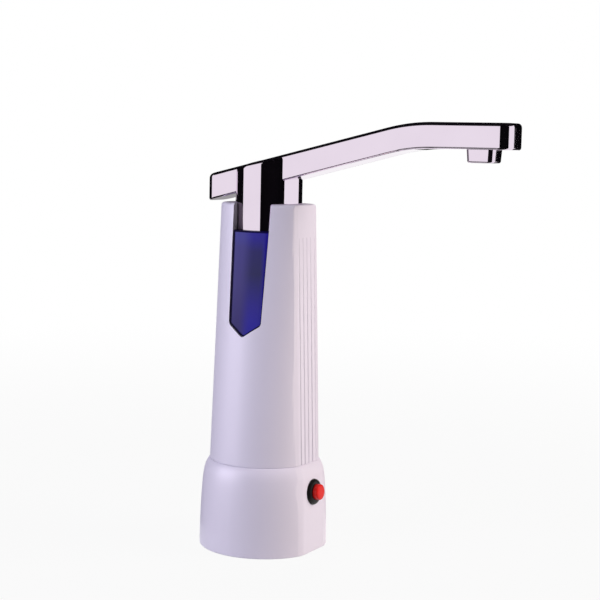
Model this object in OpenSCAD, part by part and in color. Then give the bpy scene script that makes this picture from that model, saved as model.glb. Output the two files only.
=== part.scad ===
// Electric water jug pump with a swivel spout, in millimetres.
// The origin is on the jug neck's axis, in the plane of the collar's rim.
// +Z is up, +X is the front (button and spout), and the windows face +Y and -Y.

/* [Jug neck] */
// Outside diameter of the jug neck that the collar fits over
neck_d = 55; // [52:0.5:57]
// Radial play between the neck and the collar's bore
neck_play = 0.5; // [0.2:0.1:0.8]
// Depth of the collar's bore, from the rim up to the gasket
neck_depth = 19.5; // [16:0.5:21]
// Thickness of the neck gasket
gasket_t = 2.5; // [1.5:0.25:3]
// Radius of the hole in the neck gasket
gasket_hole_r = 21; // [20.5:0.5:24]

/* [Collar] */
// Height of the collar, from its rim to the seam
collar_h = 48; // [46:0.5:54]
// Radius of the collar at its rim
collar_r = 35; // [33:0.1:38]
// Radius of the body at the seam
seam_r = 29.9; // [29.5:0.1:31]
// Distance of the collar's front flat from the axis, at the rim
collar_flat = 32.8; // [30.6:0.1:33]
// Distance of the front flat from the axis, at the seam
seam_flat = 28.3; // [27.8:0.1:29.4]
// Thickness of the floor above the jug's neck
floor_t = 3; // [2.5:0.25:4]
// Thickness of the moulded walls
wall = 2.5; // [2:0.1:2.7]

/* [Casing] */
// Height of the horn tops above the rim
casing_top = 187.5; // [183:0.5:192]
// Distance of the horns' back from the axis, at the top
top_back = 27.6; // [26.5:0.1:29]
// Half width of the casing's top across the window sides
top_side = 20; // [19.7:0.1:22]
// Distance of the front flat from the axis, at the top
top_flat = 23.3; // [22.8:0.1:25]
// Rounding of the horns' top edges
horn_round = 2.5; // [1:0.25:4]
// Rounding between the front flat and the sides, at the seam
seam_corner = 4.3; // [2:0.1:6]
// Rounding between the front flat and the sides, at the top
top_corner = 1.2; // [0.6:0.1:3]
// Number of grooves on the front flat
groove_count = 5; // [1:2:5]
// Distance between the grooves
groove_pitch = 4; // [3:0.1:4.5]
// Radius of a groove's round bottom
groove_r = 0.9; // [0.5:0.1:1.2]
// Depth of the grooves at the seam
groove_depth = 0.5; // [0.2:0.1:0.8]
// Height at which the grooves run out
groove_top = 170; // [120:1:180]

/* [Windows] */
// Width of the slot at the horn tops
slot_top_w = 22.4; // [18:0.2:24]
// Width of the slot at the window's lower corners
slot_low_w = 19.7; // [16:0.1:22]
// Height of the window's lower corners
slot_low_z = 123.6; // [118:0.2:130]
// Height of the window's pointed end
slot_tip_z = 116.6; // [110:0.2:117.5]
// Height of the window's top edge
window_top = 173.4; // [165:0.2:178]
// Thickness of a window
window_t = 1.8; // [1.4:0.1:2]
// Depth of a window's face below the casing's surface
window_recess = 0.5; // [0.2:0.1:0.7]
// Gap between a window's edge and the slot
window_play = 0.1; // [0.05:0.05:0.3]

/* [Spout] */
// Outer radius of the spout's column
column_r = 18; // [17:0.1:18.2]
// Gap between the column and the casing's guide bore
column_play = 0.4; // [0.3:0.1:0.6]
// Wall of the column and of the bar
spout_wall = 2; // [1.6:0.1:2.4]
// Height of the bar
bar_h = 13.2; // [12.6:0.1:15]
// Width of the bar
bar_w = 21; // [20:0.5:26]
// Corner radius of the bar's ends, seen from above
bar_corner = 4.8; // [2:0.1:7]
// Height of the tail's underside above the horn tops
tail_z = 1.3; // [1.3:0.1:7]
// Position of the bar's tail end
tail_x = -34.6; // [-40:0.2:-26]
// Position of the bar's tip
tip_x = 141.6; // [138:0.2:160]
// Upward slope of the bar, in degrees
bar_slope = 13.8; // [11:0.1:15]
// Position where the bar starts to level out
bend_start = 75; // [60:1:80]
// Position where the bar is level
bend_end = 100; // [90:1:104]

/* [Nozzle] */
// Position of the nozzle's axis
nozzle_x = 124.5; // [123:0.1:128]
// Length of the nozzle along the bar
nozzle_l = 15; // [14:0.1:17]
// Width of the nozzle across the bar
nozzle_w = 14; // [13.5:0.1:18]
// Corner radius of the nozzle
nozzle_corner = 3; // [1:0.1:5]
// Height of the nozzle below the bar
nozzle_drop = 6.6; // [6:0.1:10]
// Inward lean of each side of the nozzle, from top to bottom
nozzle_taper = 0.7; // [0.2:0.1:1.2]
// Radius of the nozzle's bore
nozzle_bore_r = 4; // [3.5:0.1:4.4]

/* [Button] */
// Height of the button above the rim
button_z = 32.7; // [32.4:0.1:34]
// Radius of the bezel
bezel_r = 7; // [6.6:0.1:7.6]
// Height of the bezel above the panel
bezel_h = 2; // [1:0.1:3]
// Radius of the threaded barrel
barrel_r = 5.9; // [5.4:0.1:6]
// Length of the barrel behind the panel's face
barrel_l = 14; // [13:0.5:15]
// Radius of the red cap
cap_r = 4.25; // [3.8:0.05:4.5]
// Height of the cap above the panel
cap_out = 5; // [4.8:0.1:7]
// Travel of the cap
cap_travel = 2.5; // [1:0.1:2.6]
// Gap around the cap in its bezel
cap_play = 0.1; // [0.05:0.05:0.2]
// Thickness of the panel behind the bezel
panel_t = 2.5; // [2:0.1:3]

/* [Pump and motor] */
// Position of the motor's axis behind the body's axis
motor_x = -11.5; // [-11.9:0.1:-11.4]
// Radius of the motor's can
motor_r = 13.85; // [12.5:0.05:13.9]
// Length of the motor's can
motor_l = 36; // [30:0.5:40]
// Radius of the pump
pump_r = 14; // [13.6:0.1:14.4]
// Radius of the impeller
impeller_r = 8.6; // [7:0.1:8.7]
// Number of impeller vanes
vane_count = 6; // [3:1:8]
// Radius of the motor's shaft
shaft_r = 1.15; // [1:0.05:1.5]
// Radius of the intake's hose socket
intake_r = 4; // [3.8:0.1:4.5]
// Depth of the intake's hose socket
intake_l = 8; // [6:0.5:8]
// Outer radius of the water tubes
tube_r = 4.4; // [4:0.1:4.6]
// Inner radius of the water tubes
tube_bore_r = 3; // [2.6:0.1:3.2]
// Position of the delivery tube beside the motor and the cell, along X
tube_x = 2; // [1.5:0.1:2.6]
// Position of the delivery tube beside the motor and the cell, along Y
tube_y = -15; // [-16:0.1:-15]

/* [Inside] */
// Thickness of the chassis floor
chassis_t = 3; // [2.4:0.2:3.4]
// Radius of the battery cell
cell_r = 9.2; // [8.4:0.1:9.25]
// Length of the battery cell
cell_l = 65; // [60:0.5:66]
// Position of the battery cell's axis
cell_x = 13.6; // [13.5:0.1:13.8]
// Distance of the long casing screws from the middle, along X
post_x = 13; // [12:0.2:14]
// Distance of the long casing screws from the middle, along Y
post_y = 21; // [20.6:0.2:21.4]
// Height of the swivel seat's top face
seat_z = 158; // [156:0.5:160]
// Radius of the swivel stem
stem_r = 7; // [6.4:0.1:7.6]
// Running gap between moving and fixed round faces
running_gap = 0.05; // [0.02:0.01:0.09]
// Thickness of the control board
board_t = 1.6; // [1:0.2:2]

/* [Hidden] */
$fn = 64;

// Extra length of a cut past the face that it opens
over = 1;
// Gap between pieces that are pushed or set into each other
set_gap = 0.05;
// Length that is longer than any piece of the body
far = 300;

// Heights of the stack, from the rim up
floor_z = neck_depth + gasket_t;
deck_z = floor_z + floor_t;
stage_z = collar_h;
chassis_z = stage_z - chassis_t;
neck_r = neck_d / 2 + neck_play;
gasket_lip = 0.9;
gasket_r = neck_r + gasket_lip;
cavity_r = seam_r - wall;
cavity_flat = seam_flat - wall;

// Share of the way from the rim's size to the seam's size: a light draft, then a round shoulder
function shoulder(t) = 0.45 * pow(t, 2) + 0.55 * pow(t, 14);
collar_steps = [0, 0.25, 0.5, 0.85, 0.92, 0.96, 0.985, 1];
function collar_radius(t) = collar_r - (collar_r - seam_r) * shoulder(t);
function collar_front(t) = collar_flat - (collar_flat - seam_flat) * shoulder(t);

// The button's panel is the plane strip of the front flat between these two steps
panel_low = 0.5;
panel_high = 0.85;
panel_rise = (panel_high - panel_low) * collar_h;
panel_slope = (collar_front(panel_low) - collar_front(panel_high)) / panel_rise;
panel_tilt = atan(panel_slope);
button_x = collar_front(panel_low) - (button_z - panel_low * collar_h) * panel_slope;
nut_room_r = bezel_r + 1.3;
nut_room_l = 8;
barrel_play = 0.1;

// The casing's section at a height
function casing_share(z) = (z - collar_h) / (casing_top - collar_h);
function mix(a, b, s) = a + (b - a) * s;
function casing_back(z) = mix(seam_r, top_back, casing_share(z));
function casing_side(z) = mix(seam_r, top_side, casing_share(z));
function casing_front(z) = mix(seam_flat, top_flat, casing_share(z));
function casing_corner(z) = mix(seam_corner, top_corner, casing_share(z));
casing_lean = atan((seam_flat - top_flat) / (casing_top - collar_h));
side_lean = atan((seam_r - top_side) / (casing_top - collar_h));
guide_r = column_r + column_play;
slice_t = 0.01;
boss_trim_r = cavity_r + 0.3;

// The bar's middle height along its length
bar_rise = tan(bar_slope);
bend_l = bend_end - bend_start;
tail_low = casing_top + tail_z;
function bar_mid(x) =
    let (s = min(max(x - bend_start, 0), bend_l))
    tail_low + bar_h / 2 + (min(x, bend_start) - tail_x) * bar_rise
    + bar_rise * (s - s * s / (2 * bend_l));
function bar_line(x0, x1, side) = [
    for (x = concat([x0], [for (k = [0:6]) bend_start + bend_l * k / 6], [x1]))
        if (x >= x0 && x <= x1) [x, bar_mid(x) + side]
];
function bar_side(x0, x1, low, high) = concat(
    bar_line(x0, x1, high),
    [for (k = [len(bar_line(x0, x1, low)) - 1:-1:0]) bar_line(x0, x1, low)[k]]
);

// Heights inside the pump
pump_gap = 2.5;
pump_cover_t = 3;
pump_roof_t = 3;
pump_room_r = 9.2;
seal_r = 0.5;
seal_ring_r = pump_room_r + 0.9;
seal_case_r = 4;
seal_case_t = 2;
shaft_play = 0.3;
impeller_gap = 0.8;
impeller_hub_r = 3;
disc_t = 1.5;
vane_t = 1;
vane_start = 2;
vane_edge = 0.4;
vane_low = 2;
cover_z = deck_z + pump_gap;
pump_z = cover_z + pump_cover_t;
pump_roof_z = chassis_z - pump_roof_t;
pump_mid_z = (pump_z + pump_roof_z) / 2;
pump_screw_ring = pump_r - 1.7;
pump_screw_r = 1;
pump_screw_head_r = 1.9;
pump_screw_head_t = 1.4;
pump_screw_angles = [60, 180, 300];
outlet_r = 5;
passage_r = 4.5;
outlet_bore_r = 2.2;
passage_bore_r = 1.9;
outlet_reach = norm([tube_x - motor_x, tube_y]);
outlet_angle = atan2(tube_y, tube_x - motor_x);
intake_neck_r = 6;
intake_bore_r = 3.2;
intake_flange_r = 8.5;
intake_plug = 1.5;
intake_nut_r = intake_neck_r + 3.2;
intake_nut_gap = 0.3;

// Heights inside the motor
can_wall = 1;
can_face_t = 1.5;
bell_t = 3;
motor_top = stage_z + motor_l;
bush_r = 3;
bush_l = 3;
magnet_t = 1.9;
magnet_low = 6;
magnet_split = 6;
air_gap = 0.6;
armature_r = motor_r - can_wall - magnet_t - air_gap;
armature_gap = 7;
stack_room = 16;
armature_low = stage_z + armature_gap;
stack_l = motor_l - stack_room;
winding_slot_d = 2.5;
winding_slot_w = 2;
commutator_r = 4;
commutator_l = 6;
shaft_end = 1.5;
shaft_low = pump_z + shaft_end;
shaft_high = motor_top + bell_t + shaft_end;
bell_lip = 0.5;
terminal_w = 2.2;
terminal_t = 0.6;
terminal_play = 0.1;
motor_wire_y = 8;
motor_terminal_l = 4;

// Chassis, cell, board and charging socket
divider_t = 1.6;
divider_gap = 0.2;
divider_x = cell_x - cell_r - divider_gap - divider_t;
divider_w = 18;
divider_h = 54;
tab_t = 0.4;
cell_top = stage_z + tab_t + cell_l + tab_t;
clip_gap = 0.15;
clip_t = 1.5;
clip_h = 6;
low_clip = 14;
high_clip = 48;
clip_heights = [stage_z + low_clip, stage_z + high_clip];
chassis_play = 0.3;
motor_hole_r = bush_r + 1;
cell_button_r = 3;
cell_button_h = 1;
tab_r = 5;
tab_w = 4;
tab_reach = 3.6;
board_screw_r = 0.8;
board_screw_head_r = 1.4;
board_screw_head_t = 1.2;
board_screw_bite = 4;
board_x = motor_x - 4.5;
board_w = 26;
board_h = 47;
board_z = motor_top + 11;
arm_y = 3;
arm_w = 3;
arm_h = 4;
arm_z = board_z + 2;
jack_z = board_z + 14;
jack_w = 9;
jack_h = 10;
jack_nose_r = 3.9;
jack_hole_r = 3.2;
jack_pin_r = 1;
jack_depth = 10;
jack_gap = 0.15;
jack_wall_gap = 0.9;
jack_recess = 0.5;

// Long casing screws
screw_r = 1.5;
screw_play = 0.2;
screw_head_r = 2.8;
screw_head_t = 1.5;
post_r = 3.6;
boss_h = 14;
screw_spare = 2;
rib_t = 2;

// Swivel joint, from the seat's top face down
seat_t = 4;
seat_lip = 0.3;
hub_r = 11.5;
hub_l = 13;
chamber_r = 10;
chamber_l = 7;
hub_z = seat_z - hub_l;
chamber_z = hub_z - chamber_l;
inlet_t = 3;
inlet_plug = 1.5;
barb_l = 10;
foot_gap = 0.3;
foot_z = seat_z + foot_gap;
foot_t = 4;
stem_tail = 3.5;
stem_end_z = hub_z - stem_tail;
stem_bore_r = 2.2;
ring_r = 0.9;
ring_play = 0.01;
groove_play = 0.1;
ring_heights = [seat_z - 9, seat_z - 4];
clip_ring_t = 1;
clip_ring_z = hub_z - foot_gap - clip_ring_t;
clip_ring_r = chamber_r - 0.8;
clip_groove_r = 5.6;
clip_mouth = 7.8;
seat_plate_r = 23;
seat_plate_w = 23;
seat_front = 21.3;
seat_screw_r = 1.1;
seat_screw_head_r = 1.8;
seat_screw_head_t = 1.4;
seat_screw_bite = 7;
seat_screw_at = [[-19.9, 6], [-19.9, -6], [19.3, 6.5], [19.3, -6.5]];

// Inside of the spout
stop = 1;
column_bore_r = column_r - spout_wall - stop;
ledge = 0.8;
channel_w = bar_w - 2 * spout_wall - 2 * ledge;
plate_w = bar_w - 2 * spout_wall;
plate_x0 = column_r + 2;
plate_x1 = tip_x - 4;
nozzle_z = bar_mid(nozzle_x) - bar_h / 2;
elbow_z = bar_mid(nozzle_x);
elbow_l = 14;
elbow_w = 12;
elbow_neck_r = 5.5;
elbow_neck_l = 3.5;
outlet_lip = 0.8;
screen_lip = 0.6;
screen_t = 1.2;
screen_hole_r = 0.6;

// Delivery tube: straight up beside the motor, then two arcs in to the swivel's barb
bend_r = 10;
inlet_z = chamber_z - inlet_t;
tube_gap = 0.5;
tube_top_z = inlet_z - tube_gap;
tube_shift = norm([tube_x, tube_y]);
tube_turn = acos(1 - tube_shift / (2 * bend_r));
swerve_top = inlet_z - barb_l;
swerve_low = swerve_top - 2 * bend_r * sin(tube_turn);
function swerve(s, z) = [tube_x * (1 - s / tube_shift), tube_y * (1 - s / tube_shift), z];
tube_steps = 6;
delivery_route = concat(
    [swerve(0, stage_z + tube_gap)],
    [for (k = [0:tube_steps]) let (a = tube_turn * k / tube_steps)
        swerve(bend_r * (1 - cos(a)), swerve_low + bend_r * sin(a))],
    [for (k = [tube_steps - 1:-1:0]) let (a = tube_turn * k / tube_steps)
        swerve(tube_shift - bend_r * (1 - cos(a)), swerve_top - bend_r * sin(a))],
    [swerve(tube_shift, tube_top_z)]
);

// Spout tube: up the column, round into the bar and along its middle
spout_bend_r = 14;
spout_turn = 90 - bar_slope;
spout_bend_x = spout_bend_r * (1 - cos(spout_turn));
spout_bend_z = bar_mid(spout_bend_x) - spout_bend_r * sin(spout_turn);
spout_tube_end = nozzle_x - elbow_l / 2 - tube_gap;
spout_route = concat(
    [[0, 0, foot_z + foot_t + tube_gap]],
    [for (k = [0:tube_steps]) let (a = spout_turn * k / tube_steps)
        [spout_bend_r * (1 - cos(a)), 0, spout_bend_z + spout_bend_r * sin(a)]],
    [for (k = [0:6]) let (x = bend_start + bend_l * k / 6) [x, 0, bar_mid(x)]],
    [[spout_tube_end, 0, bar_mid(spout_tube_end)]]
);

// Push button and its spring, along the button's axis from the panel's face
cap_low = -1.5;
cap_edge = 0.6;
plunger_low = -6;
plunger_r = 2;
stop_gap = 0.3;
barrel_base = 1.5;
spring_room_r = 3;
washer_t = 0.6;
nut_t = 2.2;
switch_terminal_y = 2.5;
switch_terminal_l = 5;
switch_terminal_t = 0.5;
spring_r = 2.2;
spring_wire_r = 0.35;
spring_turns = 5;
spring_low = -barrel_l + barrel_base + spring_wire_r;
spring_high = plunger_low - spring_wire_r;
coil_steps = 10;
spring_route = [
    for (k = [0:spring_turns * coil_steps])
        let (a = 360 * k / coil_steps, s = k / (spring_turns * coil_steps))
        [spring_r * cos(a), spring_r * sin(a), mix(spring_low, spring_high, s)]
];

// Leads: curves between the pieces that they join, drawn from each end's place and direction
wire_r = 0.7;
wire_hole = [5.4, 13.5];
wire_hole_r = 3;
wire_apart = 1.1;
lead_steps = 8;
lead_turn = 6;
lead_sweep = 8;
board_face = board_x + board_t / 2;
function bend(a, b, c, d) = [
    for (k = [0:lead_steps])
        let (s = k / lead_steps, q = 1 - s)
        q * q * q * a + 3 * q * q * s * b + 3 * q * s * s * c + s * s * s * d
];
function curve(a, b, c, d) =
    concat([a], bend(a + wire_r * unit(b - a), b, c, d + wire_r * unit(c - d)), [d]);
terminal_end = barrel_l + switch_terminal_l + set_gap;
lead_x = button_x - terminal_end * cos(panel_tilt) - spring_wire_r;
lead_z = button_z - terminal_end * sin(panel_tilt);
switch_lead_rise = 15;
switch_lead_y = 11.2;
switch_lead_drop = 11;
function switch_route(side) =
    let (start = [lead_x, side * switch_terminal_y, lead_z],
         hole = [wire_hole[0] + side * wire_apart, wire_hole[1], chassis_z],
         end = [board_face, switch_lead_y, board_z + switch_lead_rise + 2 * side * wire_apart],
         top = [hole[0], hole[1], end[2] - switch_lead_drop])
    concat(curve(start, start - [lead_turn, 0, 0], hole - [0, 0, lead_turn], hole),
           curve(top, top + [0, 0, lead_turn], end + [lead_sweep, 0, 0], end));
battery_lead_rise = 27;
battery_lead_y = 7.8;
tab_lead_rise = 22;
tab_lead_y = cell_r + tab_reach - wire_r - set_gap;
tab_lead_end_y = 9.4;
tab_lead_drop = 13;
battery_routes = [
    let (start = [cell_x, 0, cell_top], end = [board_face, battery_lead_y, board_z + battery_lead_rise])
        curve(start, start + [0, 0, lead_sweep], end + [2 * lead_sweep, 0, 0], end),
    let (start = [cell_x, tab_lead_y, stage_z + tab_t],
         end = [board_face, tab_lead_end_y, board_z + tab_lead_rise],
         top = [cell_x, tab_lead_y, end[2] - tab_lead_drop])
        concat([start], curve(top, top + [0, 0, lead_sweep], end + [2 * lead_sweep, 0, 0], end)),
];
motor_lead_z = motor_top + bell_t + motor_terminal_l;
motor_lead_rise = 5;
motor_lead_turn = 2;
function motor_route(side) =
    let (start = [motor_x, side * motor_wire_y, motor_lead_z],
         end = [board_face, side * motor_wire_y, motor_lead_z + motor_lead_rise])
    curve(start, start + [0, 0, 2 * motor_lead_turn], end + [motor_lead_turn, 0, 0], end);

// A closed tube along a route: rings of points square to the path, joined by triangles
function unit(v) = v / norm(v);
function along(route, k) =
    unit(route[min(k + 1, len(route) - 1)] - route[max(k - 1, 0)]);
function ring_points(route, r, sides, up) = [
    for (k = [0:len(route) - 1])
        let (t = along(route, k), u = unit(cross(up, t)), v = cross(t, u))
        for (j = [0:sides - 1])
            let (a = 360 * j / sides)
            route[k] + r * (cos(a) * u + sin(a) * v)
];
function skin_faces(rings, sides, first, flip) = [
    for (k = [0:rings - 2], j = [0:sides - 1])
        let (a = first + k * sides + j, b = first + k * sides + (j + 1) % sides)
        each flip
            ? [[a, a + sides, b], [b, a + sides, b + sides]]
            : [[a, b, a + sides], [b, b + sides, a + sides]]
];
module solid_tube(route, r, sides, up) {
    n = len(route);
    points = ring_points(route, r, sides, up);
    low_cap = [for (j = [0:sides - 1]) j];
    high_cap = [for (j = [sides - 1:-1:0]) (n - 1) * sides + j];
    polyhedron(points, concat(skin_faces(n, sides, 0, true), [high_cap], [low_cap]));
}
module hollow_tube(route, r, bore, sides, up) {
    n = len(route);
    flat_bore = bore / cos(180 / sides);
    points = concat(ring_points(route, r, sides, up), ring_points(route, flat_bore, sides, up));
    inner = n * sides;
    end = (n - 1) * sides;
    rims = [
        for (j = [0:sides - 1])
            let (q = (j + 1) % sides)
            each [[j, q, inner + j], [q, inner + q, inner + j],
                  [end + j, inner + end + j, end + q],
                  [end + q, inner + end + j, inner + end + q]]
    ];
    polyhedron(points, concat(
        skin_faces(n, sides, 0, true), skin_faces(n, sides, inner, false), rims));
}

// Small shared shapes
module ring(r, hole, h) {
    difference() {
        cylinder(r = r, h = h);
        translate([0, 0, -over]) cylinder(r = hole, h = h + 2 * over);
    }
}
module at_motor(z) {
    translate([motor_x, 0, z]) children();
}
// Local frame of the button: Z runs out of the panel, from its outer face
module at_button() {
    translate([button_x, 0, button_z]) rotate([0, 90 - panel_tilt, 0]) children();
}
module at_posts() {
    for (x = [-post_x, post_x], y = [-post_y, post_y])
        translate([x, y, 0]) children();
}
module at_pump_screws() {
    for (a = pump_screw_angles)
        translate([motor_x, 0, 0]) rotate([0, 0, a]) translate([pump_screw_ring, 0, 0]) children();
}
// Extrudes an outline drawn in X and Z across the body
module across(w) {
    rotate([90, 0, 0]) translate([0, 0, -w / 2]) linear_extrude(w) children();
}

// White collar over the jug's neck, with the floor, the posts and the button's panel
module collar_solid() {
    intersection() {
        rotate_extrude($fn = 128) polygon(concat(
            [[0, 0]],
            [for (t = collar_steps) [collar_radius(t), t * collar_h]],
            [[0, collar_h]]));
        across(far) polygon(concat(
            [[-far, 0]],
            [for (t = collar_steps) [collar_front(t), t * collar_h]],
            [[-far, collar_h]]));
    }
}
module base_collar() {
    color("white") difference() {
        union() {
            difference() {
                collar_solid();
                intersection() {
                    translate([0, 0, deck_z]) cylinder(r = cavity_r, h = far);
                    translate([cavity_flat - far, -far, 0]) cube([far, 2 * far, far]);
                }
            }
            intersection() {
                at_posts() translate([0, 0, deck_z - over])
                    cylinder(r = post_r, h = chassis_z - deck_z + over);
                cylinder(r = cavity_r + over, h = far);
            }
        }
        translate([0, 0, -over]) cylinder(r = neck_r, h = floor_z + over, $fn = 128);
        translate([0, 0, neck_depth]) cylinder(r = gasket_r + set_gap, h = gasket_t);
        at_motor(floor_z - over) cylinder(r = intake_neck_r + set_gap, h = floor_t + 2 * over);
        at_posts() {
            translate([0, 0, floor_z - over]) cylinder(r = screw_r + screw_play, h = far);
            translate([0, 0, floor_z - over])
                cylinder(r = screw_head_r + screw_play, h = screw_head_t + over);
        }
        at_button() {
            translate([0, 0, -barrel_l]) cylinder(r = barrel_r + barrel_play, h = far);
            translate([0, 0, -panel_t - nut_room_l]) cylinder(r = nut_room_r, h = nut_room_l);
        }
    }
}

// White tapered casing: round at the seam, oval at the horns, flat in front
module casing_section(z, inset) {
    translate([0, 0, z]) linear_extrude(slice_t)
        offset(r = casing_corner(z)) offset(delta = -casing_corner(z)) intersection() {
            scale([casing_back(z) - inset, casing_side(z) - inset]) circle(1, $fn = 72);
            translate([-far, -far / 2]) square([far + casing_front(z) - inset, far]);
        }
}
module casing_solid() {
    hull() {
        casing_section(collar_h, 0);
        casing_section(casing_top - horn_round, 0);
        casing_section(casing_top - horn_round * 0.5, horn_round * 0.134);
        casing_section(casing_top - horn_round * 0.134, horn_round * 0.5);
        casing_section(casing_top - slice_t, horn_round);
    }
}
module casing_hollow() {
    hull() {
        casing_section(collar_h - over, wall);
        casing_section(seat_z - slice_t, wall);
    }
}
module slot_outline(top, play) {
    low = slot_low_w / 2 - play;
    high = mix(slot_low_w, slot_top_w, (top - slot_low_z) / (casing_top - slot_low_z)) / 2 - play;
    polygon([[0, slot_tip_z + play], [low, slot_low_z + play], [high, top],
             [-high, top], [-low, slot_low_z + play]]);
}
// Ribs that tie the screw bosses to the casing's wall
module boss_ribs() {
    for (x = [-post_x, post_x], y = [-post_y, post_y])
        rotate([0, 0, atan2(y, x)]) translate([norm([x, y]), -rib_t / 2, stage_z])
            cube([far, rib_t, boss_h]);
}
module upper_casing() {
    groove_run = atan(groove_depth / (groove_top - collar_h));
    color("white") difference() {
        union() {
            difference() {
                casing_solid();
                casing_hollow();
            }
            intersection() {
                union() {
                    at_posts() translate([0, 0, stage_z]) cylinder(r = post_r, h = boss_h);
                    boss_ribs();
                }
                translate([0, 0, stage_z]) cylinder(r = boss_trim_r, h = boss_h);
            }
        }
        across(far) slot_outline(casing_top + over, 0);
        translate([0, 0, seat_z - over]) cylinder(r = guide_r, h = far);
        at_posts() translate([0, 0, stage_z - over])
            cylinder(r = screw_r + set_gap, h = boss_h - screw_spare);
        for (at = seat_screw_at)
            translate([at[0], at[1], seat_z - over])
                cylinder(r = seat_screw_r + set_gap, h = seat_screw_bite + 2 * over);
        for (k = [0:groove_count - 1])
            translate([seam_flat + groove_r - groove_depth,
                       (k - (groove_count - 1) / 2) * groove_pitch, collar_h])
                rotate([0, -casing_lean + groove_run, 0])
                    translate([0, 0, -over]) cylinder(r = groove_r, h = groove_top - collar_h + over);
        translate([0, 0, jack_z]) rotate([0, -90, 0])
            cylinder(r = jack_nose_r + jack_gap, h = far);
    }
}

// Dark blue windows: a curved pane that follows the casing's side, in the slot's outline
module window_pane(side) {
    mid_z = (slot_tip_z + window_top) / 2;
    bow_r = pow(casing_back(mid_z), 2) / casing_side(mid_z);
    color("midnightblue") intersection() {
        across(far) slot_outline(window_top, window_play);
        translate([0, side * (casing_side(mid_z) - window_recess), mid_z])
            rotate([side * side_lean, 0, 0]) translate([0, -side * bow_r, -far / 2])
                ring(bow_r, bow_r - window_t, far);
        translate([-far / 2, side > 0 ? 0 : -far, 0]) cube([far, far, far]);
    }
}
module window_left() {
    window_pane(1);
}
module window_right() {
    window_pane(-1);
}

// Rubber ring above the jug's neck
module neck_gasket() {
    color("dimgray") translate([0, 0, neck_depth]) ring(gasket_r, gasket_hole_r, gasket_t);
}

// Moulded inlet: flange under the floor, threaded neck into the pump, and a socket for the hose
module intake_fitting() {
    color("gainsboro") at_motor(neck_depth) difference() {
        union() {
            cylinder(r = intake_flange_r, h = gasket_t);
            cylinder(r = intake_neck_r, h = cover_z + intake_plug - neck_depth);
        }
        translate([0, 0, -over]) cylinder(r = intake_r, h = intake_l + over);
        cylinder(r = intake_bore_r, h = far);
    }
}
module intake_nut() {
    color("gainsboro") at_motor(deck_z) difference() {
        cylinder(r = intake_nut_r, h = pump_gap - intake_nut_gap, $fn = 6);
        translate([0, 0, -over]) cylinder(r = intake_neck_r + set_gap, h = pump_gap + over);
    }
}

// Pump: cover with the inlet, sealing ring, housing with the outlet, impeller and shaft seal
module pump_cover() {
    color("lightgray") difference() {
        at_motor(cover_z) cylinder(r = pump_r, h = pump_cover_t);
        at_motor(cover_z - over) {
            cylinder(r = intake_neck_r + set_gap, h = intake_plug + over);
            cylinder(r = intake_bore_r, h = far);
        }
        at_pump_screws() translate([0, 0, cover_z - over]) cylinder(r = pump_screw_r + set_gap, h = far);
    }
}
module pump_seal_ring() {
    color("black") at_motor(pump_z + seal_r) rotate_extrude() translate([seal_ring_r, 0]) circle(seal_r);
}
module pump_housing() {
    color("lightgray") difference() {
        union() {
            at_motor(pump_z) cylinder(r = pump_r, h = chassis_z - pump_z);
            at_motor(pump_mid_z) rotate([0, 90, outlet_angle]) cylinder(r = passage_r, h = outlet_reach);
            translate([tube_x, tube_y, pump_mid_z - outlet_r])
                cylinder(r = outlet_r, h = chassis_z - pump_mid_z + outlet_r);
            translate([tube_x, tube_y, chassis_z])
                cylinder(r = tube_bore_r - set_gap, h = chassis_t + barb_l);
        }
        at_motor(pump_z - over) cylinder(r = pump_room_r, h = pump_roof_z - pump_z + over);
        at_motor(pump_z - over) ring(seal_ring_r + seal_r, seal_ring_r - seal_r, 2 * seal_r + over);
        at_motor(pump_roof_z - over) cylinder(r = shaft_r + shaft_play, h = far);
        at_motor(pump_roof_z - over) cylinder(r = seal_case_r + set_gap, h = seal_case_t + over);
        at_motor(pump_mid_z) rotate([0, 90, outlet_angle]) cylinder(r = passage_bore_r, h = outlet_reach);
        translate([tube_x, tube_y, pump_mid_z]) cylinder(r = outlet_bore_r, h = far);
        at_pump_screws() translate([0, 0, pump_z - over]) cylinder(r = pump_screw_r + set_gap, h = far);
    }
}
module shaft_seal() {
    color("black") at_motor(pump_roof_z) ring(seal_case_r, shaft_r + running_gap, seal_case_t);
}
module impeller() {
    low = pump_z + impeller_gap;
    h = pump_roof_z - impeller_gap - low;
    color("black") at_motor(low) difference() {
        union() {
            translate([0, 0, h - disc_t]) cylinder(r = impeller_r, h = disc_t);
            cylinder(r = impeller_hub_r, h = h);
            for (k = [0:vane_count - 1])
                rotate([0, 0, 360 * k / vane_count]) translate([vane_start, -vane_t / 2, vane_low])
                    cube([impeller_r - vane_edge - vane_start, vane_t, h - disc_t / 2 - vane_low]);
        }
        translate([0, 0, -over]) cylinder(r = shaft_r, h = h + 2 * over);
    }
}
module pump_screws() {
    color("silver") at_pump_screws() {
        translate([0, 0, cover_z - pump_screw_head_t])
            cylinder(r = pump_screw_head_r, h = pump_screw_head_t);
        translate([0, 0, cover_z]) cylinder(r = pump_screw_r, h = stage_z + can_face_t - cover_z);
    }
}

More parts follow.
